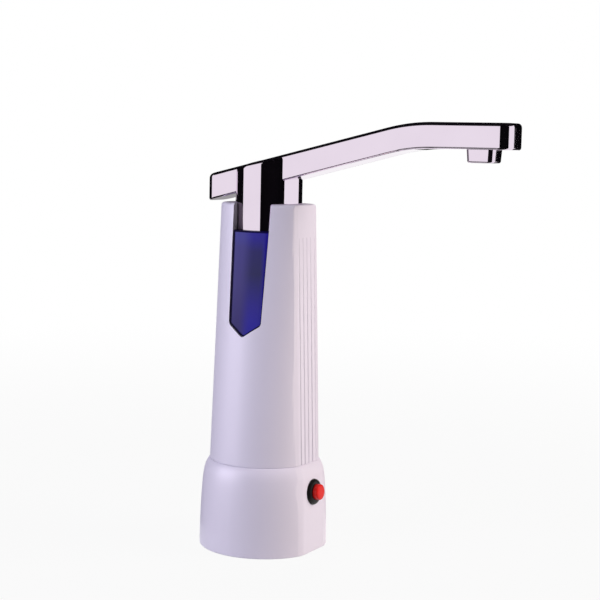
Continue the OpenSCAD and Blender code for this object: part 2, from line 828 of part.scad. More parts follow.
// Motor
module motor_can() {
    color("silver") difference() {
        at_motor(stage_z) cylinder(r = motor_r, h = motor_l);
        at_motor(stage_z + can_face_t) cylinder(r = motor_r - can_wall, h = far);
        at_motor(stage_z - over) cylinder(r = bush_r + set_gap, h = far);
        at_pump_screws() translate([0, 0, stage_z - over])
            cylinder(r = pump_screw_r + set_gap, h = can_face_t + 2 * over);
    }
}
module motor_magnets() {
    magnet_l = motor_l - 2 * magnet_low;
    color("darkslategray") at_motor(stage_z + magnet_low) difference() {
        ring(motor_r - can_wall - set_gap, motor_r - can_wall - magnet_t, magnet_l);
        translate([-magnet_split / 2, -far / 2, -over]) cube([magnet_split, far, magnet_l + 2 * over]);
    }
}
module motor_end_bell() {
    color("ivory") at_motor(motor_top) difference() {
        cylinder(r = motor_r - bell_lip, h = bell_t);
        translate([0, 0, -over]) cylinder(r = bush_r + set_gap, h = far);
        for (side = [-1, 1])
            translate([0, side * motor_wire_y, 0])
                cube([terminal_w + 2 * terminal_play, terminal_t + 2 * terminal_play, far], center = true);
    }
}
module motor_bushes() {
    color("peru") {
        at_motor(stage_z) ring(bush_r, shaft_r + running_gap, bush_l);
        at_motor(motor_top) ring(bush_r, shaft_r + running_gap, bell_t);
    }
}
module motor_armature() {
    color("sienna") at_motor(0) difference() {
        union() {
            translate([0, 0, armature_low]) cylinder(r = armature_r, h = stack_l);
            translate([0, 0, armature_low + stack_l]) cylinder(r = commutator_r, h = commutator_l);
        }
        for (a = [0:120:240])
            rotate([0, 0, a])
                translate([armature_r - winding_slot_d, -winding_slot_w / 2, armature_low - over])
                    cube([far, winding_slot_w, stack_l + over]);
        cylinder(r = shaft_r, h = far);
    }
}
module motor_shaft() {
    color("gray") at_motor(shaft_low) cylinder(r = shaft_r, h = shaft_high - shaft_low);
}
module motor_terminals() {
    color("goldenrod") for (side = [-1, 1])
        at_motor(motor_top) translate([-terminal_w / 2, side * motor_wire_y - terminal_t / 2, 0])
            cube([terminal_w, terminal_t, bell_t + motor_terminal_l]);
}

// Chassis: floor on the posts, divider beside the cell, clips and arms for the board
module inner_chassis() {
    color("whitesmoke") difference() {
        union() {
            intersection() {
                translate([0, 0, chassis_z]) cylinder(r = cavity_r - chassis_play, h = chassis_t);
                translate([cavity_flat - chassis_play - far, -far / 2, 0]) cube([far, far, far]);
            }
            translate([divider_x, -divider_w / 2, stage_z - over])
                cube([divider_t, divider_w, divider_h + over]);
            for (z = clip_heights) difference() {
                translate([cell_x, 0, z]) ring(cell_r + clip_gap + clip_t, cell_r + clip_gap, clip_h);
                translate([cell_x + cell_r / 2, -far / 2, z - over]) cube([far, far, clip_h + 2 * over]);
            }
            for (side = [-1, 1])
                translate([board_x + board_t / 2, side * arm_y - arm_w / 2, arm_z])
                    cube([divider_x - board_x, arm_w, arm_h]);
        }
        translate([cell_x, 0, stage_z]) cylinder(r = cell_r + clip_gap, h = far);
        at_motor(chassis_z - over) cylinder(r = motor_hole_r, h = chassis_t + 2 * over);
        at_posts() translate([0, 0, chassis_z - over])
            cylinder(r = screw_r + screw_play, h = chassis_t + 2 * over);
        at_pump_screws() translate([0, 0, chassis_z - over])
            cylinder(r = pump_screw_r + screw_play, h = chassis_t + 2 * over);
        translate([tube_x, tube_y, chassis_z - over])
            cylinder(r = tube_bore_r + chassis_play, h = chassis_t + 2 * over);
        translate([wire_hole[0], wire_hole[1], chassis_z - over])
            cylinder(r = wire_hole_r, h = chassis_t + 2 * over);
        for (side = [-1, 1])
            translate([board_x - over, side * arm_y, arm_z + arm_h / 2]) rotate([0, 90, 0])
                cylinder(r = board_screw_r + set_gap, h = board_t + board_screw_bite + 2 * over);
    }
}
module casing_screws() {
    color("silver") at_posts() {
        translate([0, 0, floor_z]) cylinder(r = screw_head_r, h = screw_head_t);
        translate([0, 0, floor_z]) cylinder(r = screw_r, h = stage_z + boss_h - 2 * screw_spare - floor_z);
    }
}

// Rechargeable cell with its contact tabs
module battery_cell() {
    color("seagreen") translate([cell_x, 0, stage_z + tab_t]) {
        cylinder(r = cell_r, h = cell_l - cell_button_h);
        translate([0, 0, cell_l - cell_button_h]) cylinder(r = cell_button_r, h = cell_button_h);
    }
}
module battery_tabs() {
    color("silver") {
        translate([cell_x, 0, stage_z]) cylinder(r = tab_r, h = tab_t);
        translate([cell_x - tab_w / 2, 0, stage_z]) cube([tab_w, cell_r + tab_reach, tab_t]);
        translate([cell_x, 0, cell_top - tab_t]) cylinder(r = tab_r, h = tab_t);
    }
}

// Control board on the chassis arms, with its lamps and the charging socket
module control_board() {
    color("darkgreen") difference() {
        translate([board_x - board_t / 2, -board_w / 2, board_z]) cube([board_t, board_w, board_h]);
        for (side = [-1, 1])
            translate([board_x - board_t, side * arm_y, arm_z + arm_h / 2]) rotate([0, 90, 0])
                cylinder(r = board_screw_r + set_gap, h = 2 * board_t);
    }
}
module board_screws() {
    color("silver") for (side = [-1, 1])
        translate([board_x - board_t / 2, side * arm_y, arm_z + arm_h / 2]) rotate([0, 90, 0]) {
            translate([0, 0, -board_screw_head_t]) cylinder(r = board_screw_head_r, h = board_screw_head_t);
            cylinder(r = board_screw_r, h = board_t + board_screw_bite);
        }
}
module window_leds() {
    led_w = 3;
    led_t = 1.2;
    led_r = 1.1;
    led_z = board_z + board_h - 7;
    color("lightblue") for (side = [-1, 1])
        translate([board_x + board_t / 2, side * (board_w / 2 - led_w), led_z]) {
            translate([0, -led_w / 2, -led_w / 2]) cube([led_t, led_w, led_w]);
            translate([led_t, 0, 0]) sphere(r = led_r, $fn = 24);
        }
}
module charge_socket() {
    board_back = board_x - board_t / 2;
    body_l = casing_back(jack_z) - wall - jack_wall_gap + board_back;
    reach = casing_back(jack_z) - jack_recess + board_back;
    color("black") translate([board_back, 0, jack_z]) rotate([0, -90, 0]) difference() {
        union() {
            translate([-jack_h / 2, -jack_w / 2, 0]) cube([jack_h, jack_w, body_l]);
            cylinder(r = jack_nose_r, h = reach);
        }
        translate([0, 0, reach - jack_depth]) ring(jack_hole_r, jack_pin_r, far);
        translate([0, 0, reach - over]) cylinder(r = jack_hole_r, h = far);
    }
}

// Soft tube from the pump's outlet to the swivel's barb
module delivery_tube() {
    color("lightcyan") hollow_tube(delivery_route, tube_r, tube_bore_r, 12, [1, 0, 0]);
}

// Swivel joint: seat in the casing, stem in the column, seals, clip and inlet cap
module swivel_seat() {
    color("whitesmoke") difference() {
        union() {
            translate([0, 0, seat_z - seat_t]) intersection() {
                union() {
                    cylinder(r = column_r + seat_lip, h = seat_t);
                    intersection() {
                        cylinder(r = seat_plate_r, h = seat_t);
                        translate([-far / 2, -seat_plate_w / 2, 0]) cube([far, seat_plate_w, seat_t]);
                    }
                }
                translate([seat_front - far, -far / 2, 0]) cube([far, far, seat_t]);
            }
            translate([0, 0, chamber_z]) cylinder(r = hub_r, h = seat_z - chamber_z);
        }
        translate([0, 0, chamber_z - over]) cylinder(r = stem_r + running_gap, h = far);
        translate([0, 0, chamber_z - over]) cylinder(r = chamber_r, h = chamber_l + over);
        for (at = seat_screw_at)
            translate([at[0], at[1], seat_z - seat_t - over])
                cylinder(r = seat_screw_r + set_gap, h = seat_t + 2 * over);
    }
}
module seat_screws() {
    color("silver") for (at = seat_screw_at) translate([at[0], at[1], seat_z - seat_t]) {
        translate([0, 0, -seat_screw_head_t]) cylinder(r = seat_screw_head_r, h = seat_screw_head_t);
        cylinder(r = seat_screw_r, h = seat_t + seat_screw_bite);
    }
}
module inlet_cap() {
    color("whitesmoke") difference() {
        union() {
            translate([0, 0, inlet_z]) cylinder(r = hub_r, h = inlet_t);
            translate([0, 0, inlet_z]) cylinder(r = chamber_r - set_gap, h = inlet_t + inlet_plug);
            translate([0, 0, inlet_z - barb_l]) cylinder(r = tube_bore_r - set_gap, h = barb_l);
        }
        translate([0, 0, inlet_z - barb_l - over]) cylinder(r = stem_bore_r, h = far);
    }
}
module swivel_stem() {
    ring_groove_r = stem_r + running_gap - 2 * ring_r - set_gap;
    color("whitesmoke") difference() {
        union() {
            translate([0, 0, foot_z]) cylinder(r = column_r - spout_wall - set_gap, h = foot_t);
            translate([0, 0, stem_end_z]) cylinder(r = stem_r, h = foot_z - stem_end_z);
            translate([0, 0, foot_z]) cylinder(r = tube_bore_r - set_gap, h = foot_t + barb_l);
        }
        translate([0, 0, stem_end_z - over]) cylinder(r = stem_bore_r, h = far);
        for (z = ring_heights)
            translate([0, 0, z - ring_r - groove_play])
                ring(stem_r + over, ring_groove_r, 2 * ring_r + 2 * groove_play);
        translate([0, 0, clip_ring_z - groove_play])
            ring(stem_r + over, clip_groove_r, clip_ring_t + 2 * groove_play);
    }
}
module stem_o_rings() {
    color("black") for (z = ring_heights)
        translate([0, 0, z]) rotate_extrude()
            translate([stem_r + running_gap - ring_r - 2 * ring_play, 0]) circle(ring_r - ring_play);
}
module stem_clip() {
    color("silver") translate([0, 0, clip_ring_z]) difference() {
        ring(clip_ring_r, clip_groove_r + set_gap, clip_ring_t);
        translate([0, -clip_mouth / 2, -over]) cube([far, clip_mouth, far]);
    }
}

// Chrome spout: column and bar in one hollow moulding
module bar_plan(x0, x1, w, corner) {
    translate([x0 + corner, -w / 2, 0]) cube([x1 - x0 - 2 * corner, w, far]);
    translate([x0, -w / 2 + corner, 0]) cube([x1 - x0, w - 2 * corner, far]);
    for (x = [x0 + corner, x1 - corner], y = [-w / 2 + corner, w / 2 - corner])
        translate([x, y, 0]) cylinder(r = corner, h = far);
}
module spout_shell() {
    inner = bar_h / 2 - spout_wall;
    color("lavender") difference() {
        union() {
            intersection() {
                bar_plan(tail_x, tip_x, bar_w, bar_corner);
                across(far) polygon(bar_side(tail_x, tip_x, -bar_h / 2, bar_h / 2));
            }
            intersection() {
                translate([0, 0, foot_z]) cylinder(r = column_r, h = far);
                across(far) polygon([[-far, foot_z - over], [far, foot_z - over],
                    [far, bar_mid(0) + bar_h / 2 + far * bar_rise],
                    [-far, bar_mid(0) + bar_h / 2 - far * bar_rise]]);
            }
        }
        across(channel_w) polygon(
            bar_side(tail_x + spout_wall + stop, tip_x - spout_wall - stop, -inner, inner));
        across(plate_w + 2 * set_gap)
            polygon(bar_side(plate_x0 - set_gap, plate_x1 + set_gap, -bar_h / 2 - over, -inner));
        translate([0, 0, foot_z - over]) cylinder(r = column_r - spout_wall, h = foot_t + over);
        translate([0, 0, foot_z])
            cylinder(r = column_bore_r, h = bar_mid(-column_bore_r) + inner - foot_z);
    }
}
module spout_underplate() {
    color("lavender") difference() {
        across(plate_w) polygon(bar_side(plate_x0, plate_x1, -bar_h / 2, -bar_h / 2 + spout_wall));
        translate([nozzle_x, 0, 0]) cylinder(r = elbow_neck_r + set_gap, h = far);
    }
}
module spout_tube() {
    color("lightcyan") hollow_tube(spout_route, tube_r, tube_bore_r, 12, [0, 1, 0]);
}
module nozzle_elbow() {
    low = nozzle_z + spout_wall;
    color("whitesmoke") difference() {
        union() {
            translate([nozzle_x - elbow_l / 2, -elbow_w / 2, low])
                cube([elbow_l, elbow_w, bar_h - 2 * spout_wall - 2 * set_gap]);
            translate([nozzle_x, 0, nozzle_z - elbow_neck_l])
                cylinder(r = elbow_neck_r, h = elbow_neck_l + spout_wall + over);
            translate([nozzle_x, 0, elbow_z]) rotate([0, -90, 0])
                cylinder(r = tube_bore_r - set_gap, h = elbow_l / 2 + barb_l);
        }
        translate([nozzle_x, 0, nozzle_z - elbow_neck_l - over])
            cylinder(r = nozzle_bore_r, h = elbow_z - nozzle_z + elbow_neck_l + over + stem_bore_r);
        translate([nozzle_x, 0, elbow_z]) rotate([0, -90, 0]) cylinder(r = stem_bore_r, h = far / 4);
    }
}
module nozzle_slice(z, inset) {
    l = nozzle_l - 2 * inset;
    w = nozzle_w - 2 * inset;
    translate([nozzle_x, 0, z]) for (x = [-1, 1], y = [-1, 1])
        translate([x * (l / 2 - nozzle_corner), y * (w / 2 - nozzle_corner), 0])
            cylinder(r = nozzle_corner, h = slice_t, $fn = 32);
}
module spout_nozzle() {
    low = nozzle_z - nozzle_drop;
    color("lavender") difference() {
        hull() {
            nozzle_slice(nozzle_z - slice_t, 0);
            nozzle_slice(low, nozzle_taper);
        }
        translate([nozzle_x, 0, nozzle_z - elbow_neck_l]) cylinder(r = elbow_neck_r + set_gap, h = far);
        translate([nozzle_x, 0, low + outlet_lip]) cylinder(r = nozzle_bore_r, h = far);
        translate([nozzle_x, 0, low - over]) cylinder(r = nozzle_bore_r - screen_lip, h = far);
    }
}
module nozzle_screen() {
    color("gray") translate([nozzle_x, 0, nozzle_z - nozzle_drop + outlet_lip]) difference() {
        cylinder(r = nozzle_bore_r - set_gap, h = screen_t);
        translate([0, 0, -over]) cylinder(r = screen_hole_r, h = far);
        for (a = [0:60:300])
            rotate([0, 0, a]) translate([nozzle_bore_r / 2, 0, -over])
                cylinder(r = screen_hole_r, h = far);
    }
}

// Panel push button
module button_cap() {
    color("red") at_button() {
        translate([0, 0, cap_low]) cylinder(r = cap_r, h = cap_out - cap_edge - cap_low);
        translate([0, 0, cap_out - cap_edge]) cylinder(r1 = cap_r, r2 = cap_r - cap_edge, h = cap_edge);
        translate([0, 0, plunger_low]) cylinder(r = plunger_r, h = cap_low - plunger_low);
    }
}
module button_spring() {
    color("silver") at_button() solid_tube(spring_route, spring_wire_r, 6, [0, 0, 1]);
}
module switch_housing() {
    color("black") at_button() difference() {
        union() {
            cylinder(r = bezel_r, h = bezel_h);
            translate([0, 0, -barrel_l]) cylinder(r = barrel_r, h = barrel_l);
        }
        translate([0, 0, cap_low - cap_travel - stop_gap]) cylinder(r = cap_r + cap_play, h = far);
        translate([0, 0, -barrel_l + barrel_base]) cylinder(r = spring_room_r, h = far);
    }
}
module switch_washer() {
    color("silver") at_button() translate([0, 0, -panel_t - washer_t])
        ring(bezel_r, barrel_r + set_gap, washer_t);
}
module switch_nut() {
    color("silver") at_button() translate([0, 0, -panel_t - washer_t - nut_t]) difference() {
        cylinder(r = bezel_r / cos(30), h = nut_t, $fn = 6);
        translate([0, 0, -over]) cylinder(r = barrel_r + set_gap, h = nut_t + 2 * over);
    }
}
module switch_terminals() {
    color("goldenrod") at_button() for (side = [-1, 1])
        translate([-terminal_w / 2, side * switch_terminal_y - switch_terminal_t / 2, 0])
            translate([0, 0, -barrel_l - switch_terminal_l])
                cube([terminal_w, switch_terminal_t, switch_terminal_l]);
}

// Leads between the switch, the cell, the motor and the board
module leads(routes, paint) {
    no_lead_runs_this_way = [0.5, 0.6, -0.62];
    color(paint) for (route = routes) solid_tube(route, wire_r, 8, no_lead_runs_this_way);
}
module motor_wires() {
    leads([motor_route(-1), motor_route(1)], "firebrick");
}
module switch_wires() {
    leads([switch_route(-1), switch_route(1)], "black");
}
module battery_wires() {
    leads(battery_routes, "firebrick");
}

base_collar();
upper_casing();
window_left();
window_right();
neck_gasket();
intake_fitting();
intake_nut();
pump_cover();
pump_seal_ring();
pump_housing();
impeller();
shaft_seal();
pump_screws();
motor_can();
motor_magnets();
motor_end_bell();
motor_bushes();
motor_armature();
motor_shaft();
motor_terminals();
inner_chassis();
casing_screws();
battery_cell();
battery_tabs();
control_board();
board_screws();
window_leds();
charge_socket();
delivery_tube();
swivel_seat();
seat_screws();
inlet_cap();
swivel_stem();
stem_o_rings();
stem_clip();
spout_shell();
spout_underplate();
spout_tube();
nozzle_elbow();
spout_nozzle();
nozzle_screen();
button_cap();
button_spring();
switch_housing();
switch_washer();
switch_nut();
switch_terminals();
motor_wires();
switch_wires();
battery_wires();
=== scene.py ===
# Electric water jug pump: the looks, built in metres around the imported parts.
# +Z runs up the collar's axis, +X is the front with the button and the spout.
import math

import bmesh
import bpy
from mathutils import Matrix, Vector


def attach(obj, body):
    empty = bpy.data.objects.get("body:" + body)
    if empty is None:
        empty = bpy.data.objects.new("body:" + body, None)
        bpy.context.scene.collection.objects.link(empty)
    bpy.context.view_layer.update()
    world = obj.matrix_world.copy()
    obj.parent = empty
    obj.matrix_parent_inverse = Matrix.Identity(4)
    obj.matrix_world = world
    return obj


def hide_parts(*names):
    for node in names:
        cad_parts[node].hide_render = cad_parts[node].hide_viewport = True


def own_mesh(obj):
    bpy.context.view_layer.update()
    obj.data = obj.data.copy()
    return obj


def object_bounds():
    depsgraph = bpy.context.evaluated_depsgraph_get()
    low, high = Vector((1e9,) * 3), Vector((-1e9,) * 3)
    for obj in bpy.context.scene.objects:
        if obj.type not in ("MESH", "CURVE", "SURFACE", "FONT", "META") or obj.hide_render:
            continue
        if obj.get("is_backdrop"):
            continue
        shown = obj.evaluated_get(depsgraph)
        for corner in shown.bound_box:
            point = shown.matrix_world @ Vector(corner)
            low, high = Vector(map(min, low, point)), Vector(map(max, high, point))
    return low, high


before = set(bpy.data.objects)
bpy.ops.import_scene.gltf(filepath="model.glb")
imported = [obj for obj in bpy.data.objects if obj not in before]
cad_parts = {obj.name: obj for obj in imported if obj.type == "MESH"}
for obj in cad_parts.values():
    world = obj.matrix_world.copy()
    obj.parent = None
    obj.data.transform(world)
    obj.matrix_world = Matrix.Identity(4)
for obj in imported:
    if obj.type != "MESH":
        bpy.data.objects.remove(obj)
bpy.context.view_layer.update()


# White collar. An injection-moulded ABS ring that the pump stands on: round, with a light draft, a
# soft shoulder at the seam and a flat front for the button. It is bored from below for its mount,
# the gasket and the intake, and four long screws pull the casing down on it.
mm = 0.001
collar_h, collar_r, collar_flat = 48 * mm, 35 * mm, 32.8 * mm
seam_r, seam_flat = 29.9 * mm, 28.3 * mm
rim_edge, seam_edge = 0.5 * mm, 0.35 * mm
corner_cut, corner_turns = 0.3 * mm, (math.radians(8), math.radians(16))
draft_share, draft_power, shoulder_power = 0.45, 2, 14
neck_r, gasket_seat_r, neck_depth = 28 * mm, 28.95 * mm, 19.5 * mm
floor_z, deck_z = 22 * mm, 25 * mm
cavity_r, cavity_flat = 27.4 * mm, 25.8 * mm
intake_x, intake_hole_r = -11.5 * mm, 6.05 * mm
panel_low, panel_high, button_z = 0.5, 0.85, 32.7 * mm
barrel_hole_r, barrel_hole_in, barrel_hole_out = 6 * mm, 14 * mm, 5 * mm
nut_room_r, nut_room_l, panel_t = 8.3 * mm, 8 * mm, 2.5 * mm
post_x, post_y = 13 * mm, 21 * mm
screw_hole_r, screw_head_hole_r, screw_head_depth = 1.7 * mm, 3 * mm, 1.5 * mm
round_sides, hole_sides, small_sides = 144, 64, 24
upright_share, level_play, crisp_angle = 0.6, 0.01 * mm, 30


def shoulder(t):
    """Share of the way from the rim's size to the seam's: a light draft, then a round shoulder."""
    return draft_share * t**draft_power + (1 - draft_share) * t**shoulder_power


def collar_radius(t):
    return collar_r - (collar_r - seam_r) * shoulder(t)


def collar_front(t):
    return collar_flat - (collar_flat - seam_flat) * shoulder(t)


panel_rise = (panel_high - panel_low) * collar_h
panel_slope = (collar_front(panel_low) - collar_front(panel_high)) / panel_rise
button_tilt = math.atan(panel_slope)
button_x = collar_front(panel_low) - (button_z - panel_low * collar_h) * panel_slope
button_at = Vector((button_x, 0, button_z))
button_out = Vector((math.cos(button_tilt), 0, math.sin(button_tilt)))


def clear_selection():
    if bpy.context.object and bpy.context.object.mode != "OBJECT":
        bpy.ops.object.mode_set(mode="OBJECT")
    bpy.ops.object.select_all(action="DESELECT")


def edit(piece):
    clear_selection()
    piece.select_set(True)
    bpy.context.view_layer.objects.active = piece
    bpy.ops.object.mode_set(mode="EDIT")


def leave_edit(piece):
    """Closes edit mode with every face turned outwards and the place put into the mesh."""
    bpy.ops.mesh.select_all(action="SELECT")
    bpy.ops.mesh.normals_make_consistent(inside=False)
    bpy.ops.object.mode_set(mode="OBJECT")
    bpy.ops.object.transform_apply(location=True, rotation=True, scale=True)
    return piece


def ring_stack(rings, sides):
    """A filled circle drawn up ring by ring. Each ring is its height, half length and half width."""
    clear_selection()
    bpy.ops.mesh.primitive_circle_add(vertices=sides, radius=1, fill_type="NGON", location=(0, 0, 0),
                                      rotation=(0, 0, math.pi / sides))
    piece = bpy.context.object
    bpy.ops.object.transform_apply(location=True, rotation=True, scale=True)
    edit(piece)
    bpy.ops.mesh.select_all(action="SELECT")
    z, a, b = rings[0]
    bpy.ops.transform.resize(value=(a, b, 1), center_override=(0, 0, 0))
    bpy.ops.transform.translate(value=(0, 0, z))
    for height, long, wide in rings[1:]:
        bpy.ops.mesh.extrude_region_move(TRANSFORM_OT_translate={"value": (0, 0, height - z)})
        bpy.ops.transform.resize(value=(long / a, wide / b, 1), center_override=(0, 0, height))
        z, a, b = height, long, wide
    return leave_edit(piece)


def pick_edges(piece, wanted):
    bpy.ops.mesh.select_mode(type="EDGE")
    bpy.ops.mesh.select_all(action="DESELECT")
    shape = bmesh.from_edit_mesh(piece.data)
    for edge in shape.edges:
        if wanted(edge):
            edge.select_set(True)
    bmesh.update_edit_mesh(piece.data)


def soften(piece, wanted, width, steps):
    """Rounds the edges of a piece that a test picks out."""
    edit(piece)
    pick_edges(piece, wanted)
    bpy.ops.mesh.bevel(offset=width, offset_type="OFFSET", segments=steps, profile=0.5, affect="EDGES")
    return leave_edit(piece)


def turn_of(edge):
    return math.degrees(edge.calc_face_angle(0))


def upright(edge):
    run = edge.verts[1].co - edge.verts[0].co
    return abs(run.z) > upright_share * run.length


def level_at(edge, z):
    return all(abs(v.co.z - z) < level_play for v in edge.verts)


def combine(piece, other, how):
    """Joins, cuts or keeps what two solids share, and removes the second one."""
    clear_selection()
    bpy.context.view_layer.objects.active = piece
    piece.select_set(True)
    step = piece.modifiers.new("step", "BOOLEAN")
    step.operation, step.solver, step.object = how, "EXACT", other
    bpy.ops.object.modifier_apply(modifier=step.name)
    bpy.data.objects.remove(other)
    return piece


def rod(radius, start, end, sides):
    """A round bar between two points, as a start for cutting."""
    start, end = Vector(start), Vector(end)
    run = end - start
    clear_selection()
    bpy.ops.mesh.primitive_cylinder_add(vertices=sides, radius=radius, depth=run.length,
                                        location=(start + end) / 2,
                                        rotation=run.to_track_quat("Z", "Y").to_euler())
    bpy.ops.object.transform_apply(location=True, rotation=True, scale=True)
    return bpy.context.object


def drill(piece, radius, start, end, sides=hole_sides):
    return combine(piece, rod(radius, start, end, sides), "DIFFERENCE")


def block(low, high):
    """A box between two corners, as a start for cutting."""
    low, high = Vector(low), Vector(high)
    clear_selection()
    bpy.ops.mesh.primitive_cube_add(size=1, location=(low + high) / 2)
    bpy.context.object.scale = high - low
    bpy.ops.object.transform_apply(location=True, rotation=True, scale=True)
    return bpy.context.object


def slice_off(piece, point, outwards):
    edit(piece)
    bpy.ops.mesh.select_all(action="SELECT")
    bpy.ops.mesh.bisect(plane_co=point, plane_no=outwards, use_fill=True, clear_outer=True)
    return leave_edit(piece)


def set_shading(piece, angle):
    """Smooth faces, with edges that turn further than the angle kept crisp."""
    clear_selection()
    piece.select_set(True)
    bpy.context.view_layer.objects.active = piece
    bpy.ops.object.shade_smooth_by_angle(angle=math.radians(angle))
    even = piece.modifiers.new("even", "WEIGHTED_NORMAL")
    even.keep_sharp = True
    bpy.ops.object.modifier_apply(modifier=even.name)


def surface_of(finish):
    """Switches a new material's nodes on and gives its shader's inputs."""
    finish.use_nodes = True
    return finish.node_tree.nodes["Principled BSDF"].inputs


plastic_clouds, plastic_detail, plastic_dark, plastic_light, gloss_spread = 60, 3, 0.25, 0.75, 0.04
grain_scale, grain_detail, grain_depth, plain_ior, dull_ior = 2500, 2, 0.02 * mm, 1.5, 1.3


def moulded(name, colour, shade, rough, grain, clouds=plastic_clouds, ior=plain_ior):
    """Moulded plastic: two close colours in soft clouds, uneven gloss and a fine moulded grain."""
    finish = bpy.data.materials.new(name)
    surface = surface_of(finish)
    nodes, links = finish.node_tree.nodes, finish.node_tree.links
    surface["IOR"].default_value = ior
    place = nodes.new("ShaderNodeTexCoord")
    cloud = nodes.new("ShaderNodeTexNoise")
    cloud.inputs["Scale"].default_value = clouds
    cloud.inputs["Detail"].default_value = plastic_detail
    tint = nodes.new("ShaderNodeValToRGB")
    dark, light = tint.color_ramp.elements
    dark.position, light.position = plastic_dark, plastic_light
    dark.color, light.color = (*shade, 1), (*colour, 1)
    gloss = nodes.new("ShaderNodeMapRange")
    gloss.inputs["To Min"].default_value = rough * (1 - gloss_spread)
    gloss.inputs["To Max"].default_value = rough * (1 + gloss_spread)
    fine = nodes.new("ShaderNodeTexNoise")
    fine.inputs["Scale"].default_value = grain_scale
    fine.inputs["Detail"].default_value = grain_detail
    bump = nodes.new("ShaderNodeBump")
    bump.inputs["Strength"].default_value = grain
    bump.inputs["Distance"].default_value = grain_depth
    links.new(place.outputs["Object"], cloud.inputs["Vector"])
    links.new(place.outputs["Object"], fine.inputs["Vector"])
    links.new(cloud.outputs["Fac"], tint.inputs["Fac"])
    links.new(tint.outputs["Color"], surface["Base Color"])
    links.new(cloud.outputs["Fac"], gloss.inputs["Value"])
    links.new(gloss.outputs["Result"], surface["Roughness"])
    links.new(fine.outputs["Fac"], bump.inputs["Height"])
    links.new(bump.outputs["Normal"], surface["Normal"])
    return finish


def place_piece(piece, name, finish, body, slot, *nodes):
    """Names a finished piece, gives it its material and puts it in its CAD nodes' stead."""
    piece.name = piece.data.name = name
    piece.data.materials.clear()
    piece.data.materials.append(finish)
    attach(piece, body)
    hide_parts(*nodes)


collar_steps = [0, 0.12, 0.25, 0.38, 0.5, 0.6, 0.7, 0.78, 0.85, 0.89, 0.92, 0.945, 0.965, 0.98, 0.99, 1]
flat_steps = [0, 0.25, 0.5, 0.85, 0.89, 0.92, 0.945, 0.965, 0.98, 0.99, 1]
collar_rings = [(t * collar_h, collar_radius(t), collar_radius(t)) for t in collar_steps]
collar = ring_stack(collar_rings, round_sides)

front_depth, front_width, past = 30 * mm, 90 * mm, 1 * mm


def front_cutter(turn, reach):
    """A block off the axis by its reach at each share of the collar's height, turned about Z."""
    clear_selection()
    bpy.ops.mesh.primitive_plane_add(size=1, location=(reach(0) + front_depth / 2, 0, -past))
    cutter = bpy.context.object
    cutter.scale = (front_depth, front_width, 1)
    bpy.ops.object.transform_apply(location=True, rotation=True, scale=True)
    edit(cutter)
    bpy.ops.mesh.select_all(action="SELECT")
    bpy.ops.mesh.extrude_region_move(TRANSFORM_OT_translate={"value": (0, 0, past)})
    for low, high in zip(flat_steps, flat_steps[1:]):
        step = (reach(high) - reach(low), 0, (high - low) * collar_h)
        bpy.ops.mesh.extrude_region_move(TRANSFORM_OT_translate={"value": step})
    bpy.ops.mesh.extrude_region_move(TRANSFORM_OT_translate={"value": (0, 0, past)})
    leave_edit(cutter)
    cutter.rotation_euler.z = turn
    bpy.ops.object.transform_apply(location=True, rotation=True, scale=True)
    return cutter


def corner_reach(turn):
    """Reach of a facet that takes the edge off the flat's corner."""
    def reach(t):
        half = math.sqrt(collar_radius(t)**2 - collar_front(t)**2)
        return collar_front(t) * math.cos(turn) + half * math.sin(turn) - corner_cut
    return reach


combine(collar, front_cutter(0, collar_front), "DIFFERENCE")
for turn in corner_turns:
    for side in (-1, 1):
        combine(collar, front_cutter(side * turn, corner_reach(turn)), "DIFFERENCE")
soften(collar, lambda e: level_at(e, collar_h), seam_edge, steps=2)
soften(collar, lambda e: level_at(e, 0), rim_edge, steps=3)

drill(collar, neck_r, (0, 0, -past), (0, 0, floor_z), round_sides)
drill(collar, gasket_seat_r, (0, 0, neck_depth), (0, 0, floor_z), round_sides)
drill(collar, intake_hole_r, (intake_x, 0, floor_z - past), (intake_x, 0, deck_z + past))
clear_selection()
bpy.ops.mesh.primitive_cylinder_add(vertices=round_sides, radius=cavity_r, depth=collar_h,
                                    location=(0, 0, deck_z + collar_h / 2))
cavity = bpy.context.object
bpy.ops.object.transform_apply(location=True, rotation=True, scale=True)
slice_off(cavity, (cavity_flat, 0, 0), (1, 0, 0))
combine(collar, cavity, "DIFFERENCE")
for x in (-post_x, post_x):
    for y in (-post_y, post_y):
        below, head_top = (x, y, floor_z - past), (x, y, floor_z + screw_head_depth)
        drill(collar, screw_hole_r, below, (x, y, deck_z + past), small_sides)
        drill(collar, screw_head_hole_r, below, head_top, small_sides)
drill(collar, barrel_hole_r, button_at - button_out * barrel_hole_in,
      button_at + button_out * barrel_hole_out)
panel_back = button_at - button_out * panel_t
drill(collar, nut_room_r, panel_back - button_out * nut_room_l, panel_back)
set_shading(collar, crisp_angle)
white_abs = moulded("white_abs", (0.76, 0.705, 0.83), (0.752, 0.697, 0.822),
                    rough=0.42, grain=0.1, clouds=25)
place_piece(collar, "collar_moulding", white_abs, "pump_body", "white_plastic", "base_collar")


